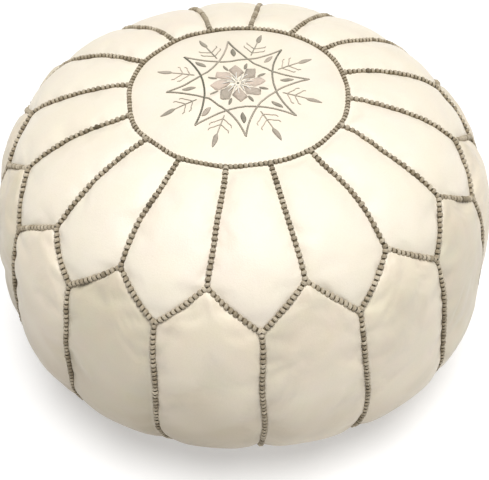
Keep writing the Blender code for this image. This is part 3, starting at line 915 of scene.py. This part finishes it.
def make_seams():
    rng = np.random.default_rng(7)
    ring = [seam_route([(k * HALF_SECTOR, RING) for k in range(2 * SECTORS + 1)], 8)]
    radial, legs, uprights = [], [], []
    for k in range(SECTORS):
        tip, valley, next_tip = k * SECTOR, (k + 0.5) * SECTOR, (k + 1) * SECTOR
        radial.append(seam_route([(valley, RING), (valley, VALLEY)], 30))
        legs.append(seam_route([(tip, TIP), (valley, VALLEY)], 16))
        legs.append(seam_route([(valley, VALLEY), (next_tip, TIP)], 16))
        uprights.append(seam_route([(tip, TIP), (tip, BASE_SEAM)], 60))
    base = [seam_route([(k * HALF_SECTOR, BASE_SEAM) for k in range(2 * SECTORS + 1)], 8)]
    seam_pieces("medallion_ring", ring, "top_seam_stitching", rng, pitch=0.0047, slant=0.12, size=0.88)
    seam_pieces("radial_seams", radial, "top_seam_stitching", rng, slant=0.04)
    seam_pieces("zigzag_seam", legs, "side_seam_stitching", rng, pitch=0.0052, slant=0.10, size=1.05)
    seam_pieces("upright_seams", uprights, "side_seam_stitching", rng, pitch=0.0053, slant=0.05)
    seam_pieces("base_seam", base, "base_seam_stitching", rng, slant=0.2, size=0.8)


# ---- Embroidery ----
STAR_RADIUS = 0.0758
STAR_WAIST = 0.037
STAR_TURN = math.radians(1.5)
PATTERN_CENTRE = (0.0, 0.0015)
PATTERN_STRETCH = (0.955, 1.03)
POINT_STRAY = {4: (1.0, 2.6), 7: (0.96, 2.0)}    # star points off the plan: share of the radius, degrees


class Embroidery:
    """Collects threads laid on the medallion, each a flattened strand, and makes them into one mesh."""

    steps = 5
    sides = 5

    def __init__(self, leather, rng):
        evaluated = leather.evaluated_get(bpy.context.evaluated_depsgraph_get())
        self.surface = BVHTree.FromObject(leather, bpy.context.evaluated_depsgraph_get())
        self.highest = max(v.co.z for v in evaluated.data.vertices) + 0.01
        self.rng = rng
        self.routes, self.widths, self.tones = [], [], []

    def on_leather(self, x, y, lift):
        x, y = x * PATTERN_STRETCH[0] + PATTERN_CENTRE[0], y * PATTERN_STRETCH[1] + PATTERN_CENTRE[1]
        place = Vector((x, y, self.highest))
        hit, normal, _, _ = self.surface.ray_cast(place, Vector((0, 0, -1)))
        return hit + normal * lift

    def strand(self, start, end, width, tone, arch=0.0004):
        """One thread from start to end, raised in its middle."""
        route = []
        for t in np.linspace(0, 1, self.steps):
            x, y = start[0] + (end[0] - start[0]) * t, start[1] + (end[1] - start[1]) * t
            route.append(self.on_leather(x, y, arch * (4 * t * (1 - t)) + 0.0001))
        self.routes.append(route)
        self.widths.append(width / 2)
        self.tones.append(min(1.0, max(0.0, tone + self.rng.uniform(-0.08, 0.08))))

    def line(self, points, width, tone, pitch=0.0026):
        """Stem stitch along a line: short strands that overlap, each a little across the line."""
        points = np.array(points)
        lengths = np.concatenate([[0], np.cumsum(np.linalg.norm(np.diff(points, axis=0), axis=1))])
        count = max(2, round(lengths[-1] / pitch))
        at = np.linspace(0, lengths[-1], count + 1)
        xs, ys = np.interp(at, lengths, points[:, 0]), np.interp(at, lengths, points[:, 1])
        for i in range(count):
            dx, dy = xs[i + 1] - xs[i], ys[i + 1] - ys[i]
            size = math.hypot(dx, dy)
            shift_x, shift_y = -dy / size * width * 0.22, dx / size * width * 0.22
            start = (xs[i] - dx * 0.22 - shift_x, ys[i] - dy * 0.22 - shift_y)
            end = (xs[i + 1] + dx * 0.22 + shift_x, ys[i + 1] + dy * 0.22 + shift_y)
            fading = 0.12 * math.sin(3.1 * i / count + 40 * tone) + 0.06 * math.sin(60 * xs[i])
            self.strand(start, end, width, tone + fading, 0.0005)

    def leaf(self, root, heading, length, width, tone, fullest=0.45, pointed=0.0, slant=0.5, step=0.00085):
        """Satin stitch filling a leaf from its root: slanting strands across it, widest at fullest.

        pointed goes from 0, a rounded leaf, to 1, a lozenge.
        """
        along = (math.sin(heading), -math.cos(heading))
        across = (math.cos(heading), math.sin(heading))
        count = max(3, round(length / step))
        for i in range(1, count):
            t = i / count
            side = t / fullest if t < fullest else (1 - t) / (1 - fullest)
            rounded = math.sin(0.5 * math.pi * side) ** 0.8
            half = 0.5 * width * (rounded + (side - rounded) * pointed)
            ends = []
            for sign in (-1, 1):
                far = length * t + sign * half * slant
                x = root[0] + along[0] * far + across[0] * half * sign
                y = root[1] + along[1] * far + across[1] * half * sign
                ends.append((x, y))
            self.strand(ends[0], ends[1], step * 1.12, tone, 0.0006)

    def make(self, name, material):
        centres = np.array([[tuple(p) for p in route] for route in self.routes])
        forward = np.gradient(centres, axis=1)
        forward /= np.linalg.norm(forward, axis=2)[..., None]
        up = np.array([0.0, 0.0, 1.0]) - forward * forward[..., 2:3]
        up /= np.linalg.norm(up, axis=2)[..., None]
        across = np.cross(forward, up)
        taper = np.array([0.55, 1.0, 1.0, 1.0, 0.55])
        half = np.array(self.widths)[:, None] * taper
        radii = np.stack([half * 0.62, half], -1)
        vertices, faces = tubes(centres, up, across, radii, self.sides)
        tone = np.repeat(np.array(self.tones), self.steps * self.sides)
        made = new_object(name, vertices, faces, material, tone=tone)
        ride_as(made, "cover", "medallion_embroidery")


def polar(radius, angle):
    return radius * math.sin(angle), -radius * math.cos(angle)


def star_point(index):
    share, stray = POINT_STRAY.get(index % 8, (1.0, 0.0))
    return np.array(polar(STAR_RADIUS * share, STAR_TURN + index * math.pi / 4 + math.radians(stray)))


def star_side(start, steps=16):
    """One hollow side of a star, from a point to the next but one, as a quadratic curve."""
    control = 2 * STAR_WAIST - STAR_RADIUS * math.cos(math.pi / 4)
    a, c = star_point(start), star_point(start + 2)
    b = np.array(polar(control, STAR_TURN + (start + 1) * math.pi / 4))
    return [tuple((1 - t) ** 2 * a + 2 * t * (1 - t) * b + t * t * c) for t in np.linspace(0, 1, steps)]


def sprig(sewing, angle, tone):
    """A stem outside the star with two pairs of hooked branches and a leaf at its end."""
    outward, sideways = np.array(polar(1.0, angle)), np.array(polar(1.0, angle + math.pi / 2))

    def spot(out, side):
        return tuple(outward * out + sideways * side)

    sewing.line([spot(0.049, 0), spot(0.075, 0)], 0.0012, tone)
    for start, reach in ((0.0535, 0.0115), (0.0615, 0.0105)):
        for sign in (-1, 1):
            hook = [(0, 0), (0.25, 0.38), (0.50, 0.68), (0.58, 0.95), (0.86, 1.02)]
            branch = [spot(start + out * reach, sign * side * reach) for out, side in hook]
            sewing.line(branch, 0.0010, tone + 0.05, 0.0023)
    sewing.leaf(spot(0.0735, 0), angle, 0.0175, 0.0056, tone, 0.35)


def make_embroidery(leather):
    rng = np.random.default_rng(11)
    sewing = Embroidery(leather, rng)
    tones = {0: (0.45, 0.36, 0.52, 0.42), 1: (0.18, 0.56, 0.10, 0.54)}
    for star in (0, 1):
        for side in range(4):
            sewing.line(star_side(star + 2 * side), 0.0019, tones[star][side])
    for point in range(8):
        angle = STAR_TURN + point * math.pi / 4
        between = angle + math.pi / 8
        leaf_tone = (0.30, 0.40, 0.45, 0.65)[point % 4]
        sewing.leaf(polar(0.0445, angle), angle, 0.0150, 0.0056, leaf_tone, 0.5)
        sewing.leaf(polar(0.0335, between), between + math.pi, 0.0105, 0.0036, 0.35, 0.55)
        blunt = 0.62 if point % 2 else 0.54
        petal_tone = (0.78, 0.70, 0.98, 0.62, 0.80, 0.92, 1.0, 0.60)[point]
        sewing.leaf(polar(0.0080, angle), angle, 0.0215, 0.0165, petal_tone, blunt, 0.75, 0.35)
        sprig(sewing, between, 0.42 if point in (3, 4, 6) else 0.58)
    for turn in range(6):
        sewing.strand(polar(0.0014, turn), polar(0.0014, turn + math.pi), 0.0012, 0.1)
    sewing.make("medallion_embroidery_threads", EMBROIDERY)
    veins = Embroidery(leather, rng)
    for ray in range(16):
        angle = STAR_TURN + ray * math.pi / 8
        reach = 0.0150 if ray % 2 else 0.0190
        veins.strand(polar(0.0030, angle), polar(reach, angle), 0.0011, 0.8, 0.0016)
    veins.make("medallion_pale_threads", PALE_THREAD)


# ---- Base ----
FLANGE_LENGTH = 0.352
EDGE_STITCHES = ZIP_CHANNEL + 0.0045
TAB_START = 0.1885
TAB_END = 0.1945
FLANGE_PROFILE = ((-0.0006, 0.0006), (-0.0008, 0.0022), (-0.0008, 0.0082))
LANDING = float(LENGTHS[-1])


def base_height(angle, length):
    """Small gathers beside the base seam, and a slight wrinkling of the flat part. Never below the floor."""
    to_seam = length - BASE_SEAM
    gathers = 0.0006 * math.sin(46 * angle + 2 * math.sin(5 * angle)) * math.exp(-to_seam / 0.012)
    place = Vector((9 * math.sin(angle), 9 * math.cos(angle), 30 * length))
    return abs(gathers + 0.0006 * noise.noise(place)) * min(1.0, to_seam / 0.004)


def stitch_groove(y):
    """The leather is drawn up along the row of stitches beside the zip, which so stays off the floor."""
    return 0.0011 * math.exp(-(((abs(y) - EDGE_STITCHES) / 0.004) ** 2))


def base_leather(name, turn, node):
    """Half of the base: flat on the floor, rising to its seam, its straight edge turned up beside the zip."""
    columns = 12 * SECTORS
    flat_rows, foot_rows = 44, 6
    points = []
    for row in range(foot_rows + 1):
        length = BASE_SEAM + (LANDING - BASE_SEAM) * row / foot_rows
        for column in range(columns):
            angle = turn + column * 2 * math.pi / columns
            place = cover_point(angle, length)
            points.append((place.x, place.y, place.z + base_height(angle, length) + stitch_groove(place.y)))
    for row in range(1, flat_rows):
        radius = FLAT_RADIUS * (1 - row / flat_rows)
        for column in range(columns):
            angle = turn + column * 2 * math.pi / columns
            x, y = radius * math.sin(angle), -radius * math.cos(angle)
            z = base_height(angle, LANDING + FLAT_RADIUS - radius) + stitch_groove(y)
            points.append((x, y, z))
    rows = foot_rows + flat_rows
    bm = bmesh.new()
    vertices = [bm.verts.new(point) for point in points]
    for row in range(rows - 1):
        for column in range(columns):
            a, b = row * columns + column, row * columns + (column + 1) % columns
            bm.faces.new([vertices[i] for i in (a, a + columns, b + columns, b)])
    bm.faces.new(vertices[-columns:])
    side = math.copysign(1.0, math.cos(turn))
    edge = ZIP_CHANNEL + 0.0016
    cut = bmesh.ops.bisect_plane(
        bm,
        geom=bm.verts[:] + bm.edges[:] + bm.faces[:],
        plane_co=(0, side * edge, 0),
        plane_no=(0, side, 0),
        clear_inner=True,
    )
    rim = [e for e in cut["geom_cut"] if isinstance(e, bmesh.types.BMEdge)]
    start = {vertex: vertex.co.copy() for e in rim for vertex in e.verts}
    for inset, height in FLANGE_PROFILE:
        out = bmesh.ops.extrude_edge_only(bm, edges=rim)["geom"]
        rim = [e for e in out if isinstance(e, bmesh.types.BMEdge)]
        moved = {}
        for vertex in {v for e in rim for v in e.verts}:
            near = min(start, key=lambda v: abs(start[v].x - vertex.co.x))
            base = start[near]
            taper = min(1.0, max(0.06, (FLANGE_LENGTH / 2 + 0.004 - abs(base.x)) / 0.01))
            vertex.co = base + Vector((0, side * inset, height * taper))
            moved[vertex] = base
        start = moved
    bmesh.ops.recalc_face_normals(bm, faces=bm.faces)
    down = sum(f.normal.z * f.calc_area() for f in bm.faces)
    if down > 0:
        bmesh.ops.reverse_faces(bm, faces=bm.faces)
    mesh = mesh_from(bm, name)
    mesh.materials.append(SHADED_SIDE_CREAM)
    mesh.shade_smooth()
    finish_leather(link_new(name, mesh), node)
    end_tab(name + "_tab_left", side, -1, node)
    end_tab(name + "_tab_right", side, 1, node)


def end_tab(name, side, end, node, steps=6):
    """Closes half of the slit beyond an end of the zip: a tongue of leather from the panel's edge."""
    vertices = []
    for i in range(steps + 1):
        x = end * (TAB_START + (TAB_END - TAB_START) * i / steps)
        for j in range(steps + 1):
            y = side * (0.0004 + (ZIP_CHANNEL + 0.0026) * j / steps)
            height = float(section(foot_length(math.hypot(x, y)))[1])
            inner_edge = 0.0012 * (1 - j / steps) ** 4 + 0.0008 * (1 - i / steps) ** 4
            vertices.append((x, y, max(0.0004, height - 0.0004) + inner_edge))
    faces = quads(steps + 1, steps + 1, flip=side * end < 0)
    finish_leather(new_object(name, vertices, faces, SHADED_SIDE_CREAM), node)


def running_stitches(name, routes, pitch, length, radius, material, node, tone=0.6):
    """Short straight stitches that dip into the cloth or leather at both ends."""
    rng = np.random.default_rng(len(name))
    places, tangents, normals = [np.concatenate(x) for x in zip(*[resample(*r, pitch) for r in routes])]
    t = np.linspace(-0.5, 0.5, 5)
    arch = radius * (1.2 - 5.5 * t**2)
    centres = places[:, None] + tangents[:, None] * (t * length)[:, None] + normals[:, None] * arch[:, None]
    sides = np.repeat(np.cross(tangents, normals)[:, None], 5, axis=1)
    ups = np.repeat(normals[:, None], 5, axis=1)
    radii = np.full((len(places), 5, 2), radius) * np.array([0.6, 1, 1, 1, 0.6])[None, :, None]
    vertices, faces = tubes(centres, ups, sides, radii, 6)
    tones = np.clip(np.repeat(tone + rng.uniform(-0.15, 0.15, len(places)), 30), 0, 1)
    made = new_object(name, vertices, faces, material, tone=tones)
    ride_as(made, "cover", node)


def straight_route(y, z, half_length, steps=40):
    points = [Vector((x, y, z)) for x in np.linspace(-half_length, half_length, steps)]
    return points, [Vector((0, 0, -1))] * steps


def make_base():
    base_leather("base_leather_back", 0.0, "base_panel_back")
    base_leather("base_leather_front", math.pi, "base_panel_front")
    rows = [straight_route(side * EDGE_STITCHES, 0.0009, 0.170) for side in (-1, 1)]
    running_stitches("base_edge_stitches", rows, 0.0046, 0.0034, 0.00035, WELT_THREAD, "base_seam_stitching")


# ---- Zip ----
TAPE_LOW, TAPE_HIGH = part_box("zip_tape_back")
TAPE_MIDDLE = (TAPE_LOW[2] + TAPE_HIGH[2]) / 2
TEETH_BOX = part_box("zip_teeth_front")
TEETH = 41
TOOTH_PITCH = (TEETH_BOX[1][0] - TEETH_BOX[0][0]) / TEETH
TOOTH_WIDTH = 0.003
METAL_SHARP = math.radians(40)


def plate(name, outlines, thickness, edge):
    """A flat plate with rounded edges from its outline, and any holes, in the XY plane."""
    curve = bpy.data.curves.new(name, "CURVE")
    curve.dimensions = "2D"
    curve.fill_mode = "BOTH"
    curve.extrude = thickness / 2 - edge
    curve.bevel_depth = edge
    curve.bevel_resolution = 2
    curve.offset = -edge
    for outline in outlines:
        spline = curve.splines.new("POLY")
        spline.points.add(len(outline) - 1)
        for point, (x, y) in zip(spline.points, outline):
            point.co = (x, y, 0.0, 1.0)
        spline.use_cyclic_u = True
    holder = link_new(name, curve)
    mesh = bpy.data.meshes.new_from_object(holder.evaluated_get(bpy.context.evaluated_depsgraph_get()))
    bpy.data.objects.remove(holder, do_unlink=True)
    weld = bmesh.new()
    weld.from_mesh(mesh)
    bmesh.ops.remove_doubles(weld, verts=weld.verts, dist=1e-6)
    weld.to_mesh(mesh)
    weld.free()
    return mesh


def joined(name, parts, material):
    """One object from several (mesh, matrix) parts."""
    bm = bmesh.new()
    for mesh, matrix in parts:
        copy = mesh.copy()
        copy.transform(matrix)
        bm.from_mesh(copy)
        bpy.data.meshes.remove(copy)
    mesh = mesh_from(bm, name)
    mesh.materials.append(material)
    mesh.shade_smooth()
    mesh.set_sharp_from_angle(angle=METAL_SHARP)
    return link_new(name, mesh)


def block(size, bevel, segments=2):
    """A rounded block about its middle, as a mesh."""
    bm = bmesh.new()
    bmesh.ops.create_cube(bm, size=1.0)
    for vertex in bm.verts:
        vertex.co = Vector(a * b for a, b in zip(vertex.co, size))
    bmesh.ops.bevel(bm, geom=bm.edges[:], offset=bevel, segments=segments, affect="EDGES", profile=0.5)
    return mesh_from(bm, "block")


def rod(points, radius, sides=10):
    """A round bent wire along points, as a mesh."""
    route = np.array(points, dtype=float)
    forward = np.gradient(route, axis=0)
    forward /= np.linalg.norm(forward, axis=1)[:, None]
    up = np.tile(np.array([0.0, 1.0, 0.0]), (len(route), 1))
    side = np.cross(forward, up)
    vertices, faces = tubes(route[None], up[None], side[None], np.full((1, len(route), 2), radius), sides)
    mesh = bpy.data.meshes.new("rod")
    mesh.from_pydata(vertices.tolist(), [], faces)
    return mesh


def tooth_outline():
    """Seen from below: a foot clamped on the tape's cord, a narrow neck and a rounded head."""
    half = [(1.45, 0.0), (1.45, 1.5), (0.95, 2.2), (0.90, 2.8), (1.35, 3.3), (1.38, 4.0), (0.95, 4.55)]
    points = [(x, y) for x, y in half] + [(-x, y) for x, y in half[::-1]]
    return [(x / 1000, y / 1000) for x, y in points]


def zip_chain(name, side, first, node):
    mesh = plate("tooth", [tooth_outline()], 0.0024, 0.0003)
    nib = block((0.0009, 0.0011, 0.0030), 0.0003)
    low = TEETH_BOX[0][0]
    back = 0.0030
    parts = []
    for index in range(TEETH):
        x = low + index * TOOTH_PITCH + first + TOOTH_WIDTH / 2
        turn = Matrix.Rotation(0 if side < 0 else math.pi, 4, "Z")
        place = Matrix.Translation((x, side * back, TAPE_MIDDLE)) @ turn
        parts.append((mesh, place))
        parts.append((nib, place @ Matrix.Translation((0.0002, 0.0036, 0))))
    ride_as(joined(name, parts, BRASS), "cover", node)


def zip_tape(name, side, node):
    """The woven tape, rippled where it is sewn to the leather."""
    length, width = 160, 8
    vertices = []
    for x in np.linspace(TAPE_LOW[0], TAPE_HIGH[0], length + 1):
        for j in range(width + 1):
            across = j / width
            y = side * (0.0032 + (TAPE_HIGH[1] - 0.0032) * across)
            ripple = 0.00018 * math.sin(x * 1400) * math.sin(math.pi * across) if 0 < j < width else 0.0
            vertices.append((x, y, TAPE_HIGH[2] - 0.0001 + ripple))
    tape = new_object(name, vertices, quads(length + 1, width + 1, flip=side > 0), TAPE_CLOTH)
    thicken(tape, TAPE_HIGH[2] - TAPE_LOW[2])
    ride_as(tape, "cover", node)


def tape_cord(name, side, node):
    points = [(x, side * 0.0036, TAPE_MIDDLE) for x in np.linspace(TAPE_LOW[0], TAPE_HIGH[0], 120)]
    ride_as(joined(name, [(rod(points, 0.0009), Matrix())], TAPE_CLOTH), "cover", node)


def make_slider():
    """Two curved plates joined by the diamond, side rails folded towards each other, and a bail."""
    low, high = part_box("zip_slider")
    centre_x = (low[0] + high[0]) / 2
    nose, tail, half_length = 0.00525, 0.0040, 0.0070
    outline = []
    for step in range(25):
        t = step / 24
        x = half_length - 2 * half_length * t
        y = nose + (tail - nose) * t
        y *= min(1.0, (0.35 + 6 * t) ** 0.5) * min(1.0, (0.5 + 7 * (1 - t)) ** 0.5)
        outline.append((x, y))
    outline += [(x, -y) for x, y in outline[::-1]]
    face = plate("slider_plate", [outline], 0.0011, 0.0004)
    lower = TAPE_MIDDLE - 0.00275
    upper = TAPE_MIDDLE + 0.00275
    parts = [
        (face, Matrix.Translation((centre_x, 0, lower))),
        (face, Matrix.Translation((centre_x, 0, upper))),
        (block((0.0036, 0.0024, 0.0052), 0.0006), Matrix.Translation((centre_x + 0.0022, 0, TAPE_MIDDLE))),
    ]
    rail = block((0.0122, 0.0010, 0.0016), 0.00035)
    for side in (-1, 1):
        lean = Matrix.Rotation(side * math.atan2(nose - tail, 2 * half_length), 4, "Z")
        for z in (lower + 0.0008, upper - 0.0008):
            place = Matrix.Translation((centre_x, side * 0.0041, z))
            parts.append((rail, place @ lean))
    bail = []
    for step in range(17):
        turn = math.pi * step / 16
        x = centre_x - 0.0034 * math.cos(turn)
        bail.append((x, 0.0, lower - 0.0004 - 0.0021 * math.sin(turn) ** 0.6))
    parts.append((rod(bail, 0.00055), Matrix()))
    ride_as(joined("zip_slider_body", parts, BRASS), "zip_slider", "zip_slider")


def make_pull(pivot):
    """A drop-shaped tab hung by its eye, with a raised oval boss on it."""
    length, head, foot = 0.0240, 0.0032, 0.0027
    round_head = np.linspace(-math.pi / 2, math.pi / 2, 9)
    outline = [(0.0012 * math.cos(a) - 0.0010, head * math.sin(a)) for a in round_head]
    for step in range(1, 12):
        t = step / 12
        waist = 1 - 0.32 * math.sin(math.pi * min(1.0, t * 1.5))
        outline.append((-0.0010 - (length - 0.0040) * t, (head + (foot - head) * t) * waist))
    for a in np.linspace(math.pi / 2, 3 * math.pi / 2, 11):
        outline.append((-length + 0.0030 + 0.0030 * math.cos(a), foot * math.sin(a)))
    outline += [(x, -y) for x, y in outline[19:8:-1]]
    full_turn = np.linspace(0, 2 * math.pi, 25)[:-1]
    eye = [(-0.0026 + 0.0021 * math.cos(a), 0.0017 * math.sin(a)) for a in full_turn]
    tab = plate("pull_tab", [outline, eye], 0.0010, 0.0003)
    drop = [(-0.0165 + 0.0045 * math.cos(a), 0.0012 * math.sin(a)) for a in full_turn]
    boss = plate("pull_boss", [drop], 0.0014, 0.0002)
    lie = Matrix.Translation(pivot) @ Matrix.Rotation(math.radians(-10), 4, "Y")
    pull = joined("zip_pull_tab", [(tab, lie), (boss, lie)], BRASS)
    ride_as(pull, "zip_pull", "zip_pull")


def make_stops():
    for name in ("zip_top_stop_front", "zip_top_stop_back", "zip_bottom_stop"):
        low, high = (Vector(corner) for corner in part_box(name))
        clamp = block(high - low, 0.0006, 3)
        parts = [(clamp, Matrix.Translation((low + high) / 2))]
        ride_as(joined(name + "_clamp", parts, BRASS), "cover", name)


def make_zip():
    zip_tape("zip_tape_cloth_front", -1, "zip_tape_front")
    zip_tape("zip_tape_cloth_back", 1, "zip_tape_back")
    tape_cord("zip_cord_front", -1, "zip_tape_front")
    tape_cord("zip_cord_back", 1, "zip_tape_back")
    zip_chain("zip_chain_front", -1, 0.0, "zip_teeth_front")
    zip_chain("zip_chain_back", 1, TOOTH_PITCH / 2, "zip_teeth_back")
    rows = [straight_route(side * 0.0105, TAPE_LOW[2], 0.170) for side in (-1, 1)]
    running_stitches("zip_tape_stitches", rows, 0.0036, 0.0027, 0.0003, PALE_THREAD, "zip_tape_front", 0.4)
    make_stops()
    make_slider()
    swing = next(joint for joint in frame["joints"] if joint["name"] == "zip_pull_swing")
    make_pull(Vector(swing["pos_m"]))


# ---- Inside ----
def inner_form(name, node, depth, floor, opening, bumps, material, slot, thickness):
    """A body under the cover: over the top, down the side and back along its flat underside to an opening."""
    columns, rows, under = 96, 44, 10
    lengths = np.linspace(0.012, BASE_SEAM, rows)
    grid = []
    for column in range(columns):
        angle = column * 2 * math.pi / columns
        line = []
        for length in lengths:
            coarse = Vector((14 * math.sin(angle), 14 * math.cos(angle), 42 * length))
            fine = coarse * 2.7
            bump = bumps * (noise.noise(coarse) + 0.5 * noise.noise(fine))
            place = cover_point(angle, length, -depth - bumps + bump)
            if place.z > floor + 0.5 * depth:
                line.append(place)
        grid.append(line)
    kept = min(len(line) for line in grid)
    vertices = []
    for column, line in enumerate(grid):
        line = line[:kept]
        angle = column * 2 * math.pi / columns
        edge = math.hypot(line[-1].x, line[-1].y)
        for row in range(1, under + 1):
            t = row / under
            radius = edge * 0.97 + (opening - edge * 0.97) * t
            place = Vector((9 * math.sin(angle), 9 * math.cos(angle), 12 * t))
            sag = 0.3 * bumps * noise.noise(place) if row < under else 0.0
            line.append(Vector((radius * math.sin(angle), -radius * math.cos(angle), floor + abs(sag))))
        vertices += line
    height = kept + under
    faces = []
    for column in range(columns):
        a, b = column * height, ((column + 1) % columns) * height
        for row in range(height - 1):
            faces.append((a + row, a + row + 1, b + row + 1, b + row))
    faces.append([column * height for column in range(columns)])
    if not thickness:
        faces.append([column * height + height - 1 for column in range(columns)][::-1])
    made = new_object(name, vertices, faces, material)
    if thickness:
        thicken(made, thickness)
    subdivide(made)
    ride_as(made, "cover", node)


def make_inside():
    liner = (LINER_DEPTH, LINER_FLOOR, FILLING_OPENING, 0.0012, COTTON, "lining", 0.0010)
    inner_form("cotton_liner", "inner_liner", *liner)
    fill_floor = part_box("stuffing")[0][2]
    filling = (LINER_DEPTH + 0.0045, fill_floor, 0.004, 0.0035, BATTING, "batting", 0.0)
    inner_form("cotton_filling", "stuffing", *filling)


# ---- Lights and floor ----
LIGHT_DIRECTION = (-0.07, 0.07, -1.0)
LIGHT_STRENGTH = 3.75
LIGHT_WIDTH = math.radians(45)
WORLD_STRENGTH = 0.06
FLOOR_GREY = 0.62
FLOOR_GLOW = 0.44             # the floor is lit paper, brighter than its shadows
FLOOR_REACH = 12.0            # from its middle to each edge
FLOOR_GAP = 0.0005


def add_overhead_light():
    data = bpy.data.lights.new("overhead", "SUN")
    data.energy = LIGHT_STRENGTH
    data.angle = LIGHT_WIDTH
    data.color = (1.0, 0.99, 0.975)
    light = link_new("overhead", data)
    light.rotation_euler = Vector(LIGHT_DIRECTION).to_track_quat("-Z", "Y").to_euler()


def add_studio():
    world = bpy.data.worlds.new("studio")
    world.use_nodes = True
    background = world.node_tree.nodes["Background"]
    background.inputs["Color"].default_value = (1.0, 0.985, 0.96, 1)
    background.inputs["Strength"].default_value = WORLD_STRENGTH
    scene.world = world
    scene.view_settings.view_transform = "Standard"
    add_overhead_light()
    glow = {"Emission_Color": (1, 1, 1, 1), "Emission_Strength": FLOOR_GLOW}
    paper = Look("studio_floor", 0.8, Base_Color=(FLOOR_GREY, FLOOR_GREY, FLOOR_GREY, 1), **glow)
    corners = [(x * FLOOR_REACH, y * FLOOR_REACH, 0) for x, y in ((-1, -1), (1, -1), (1, 1), (-1, 1))]
    floor = new_object("studio_floor", corners, [(0, 1, 2, 3)], paper.material, smooth=False)
    floor.location.z = cad_bounds[0][2] - FLOOR_GAP


# ---- Build ----
cover = finished_cover()
make_panels(cover)
medallion = make_medallion()
make_embroidery(medallion)
make_seams()
make_base()
make_zip()
make_inside()
add_studio()
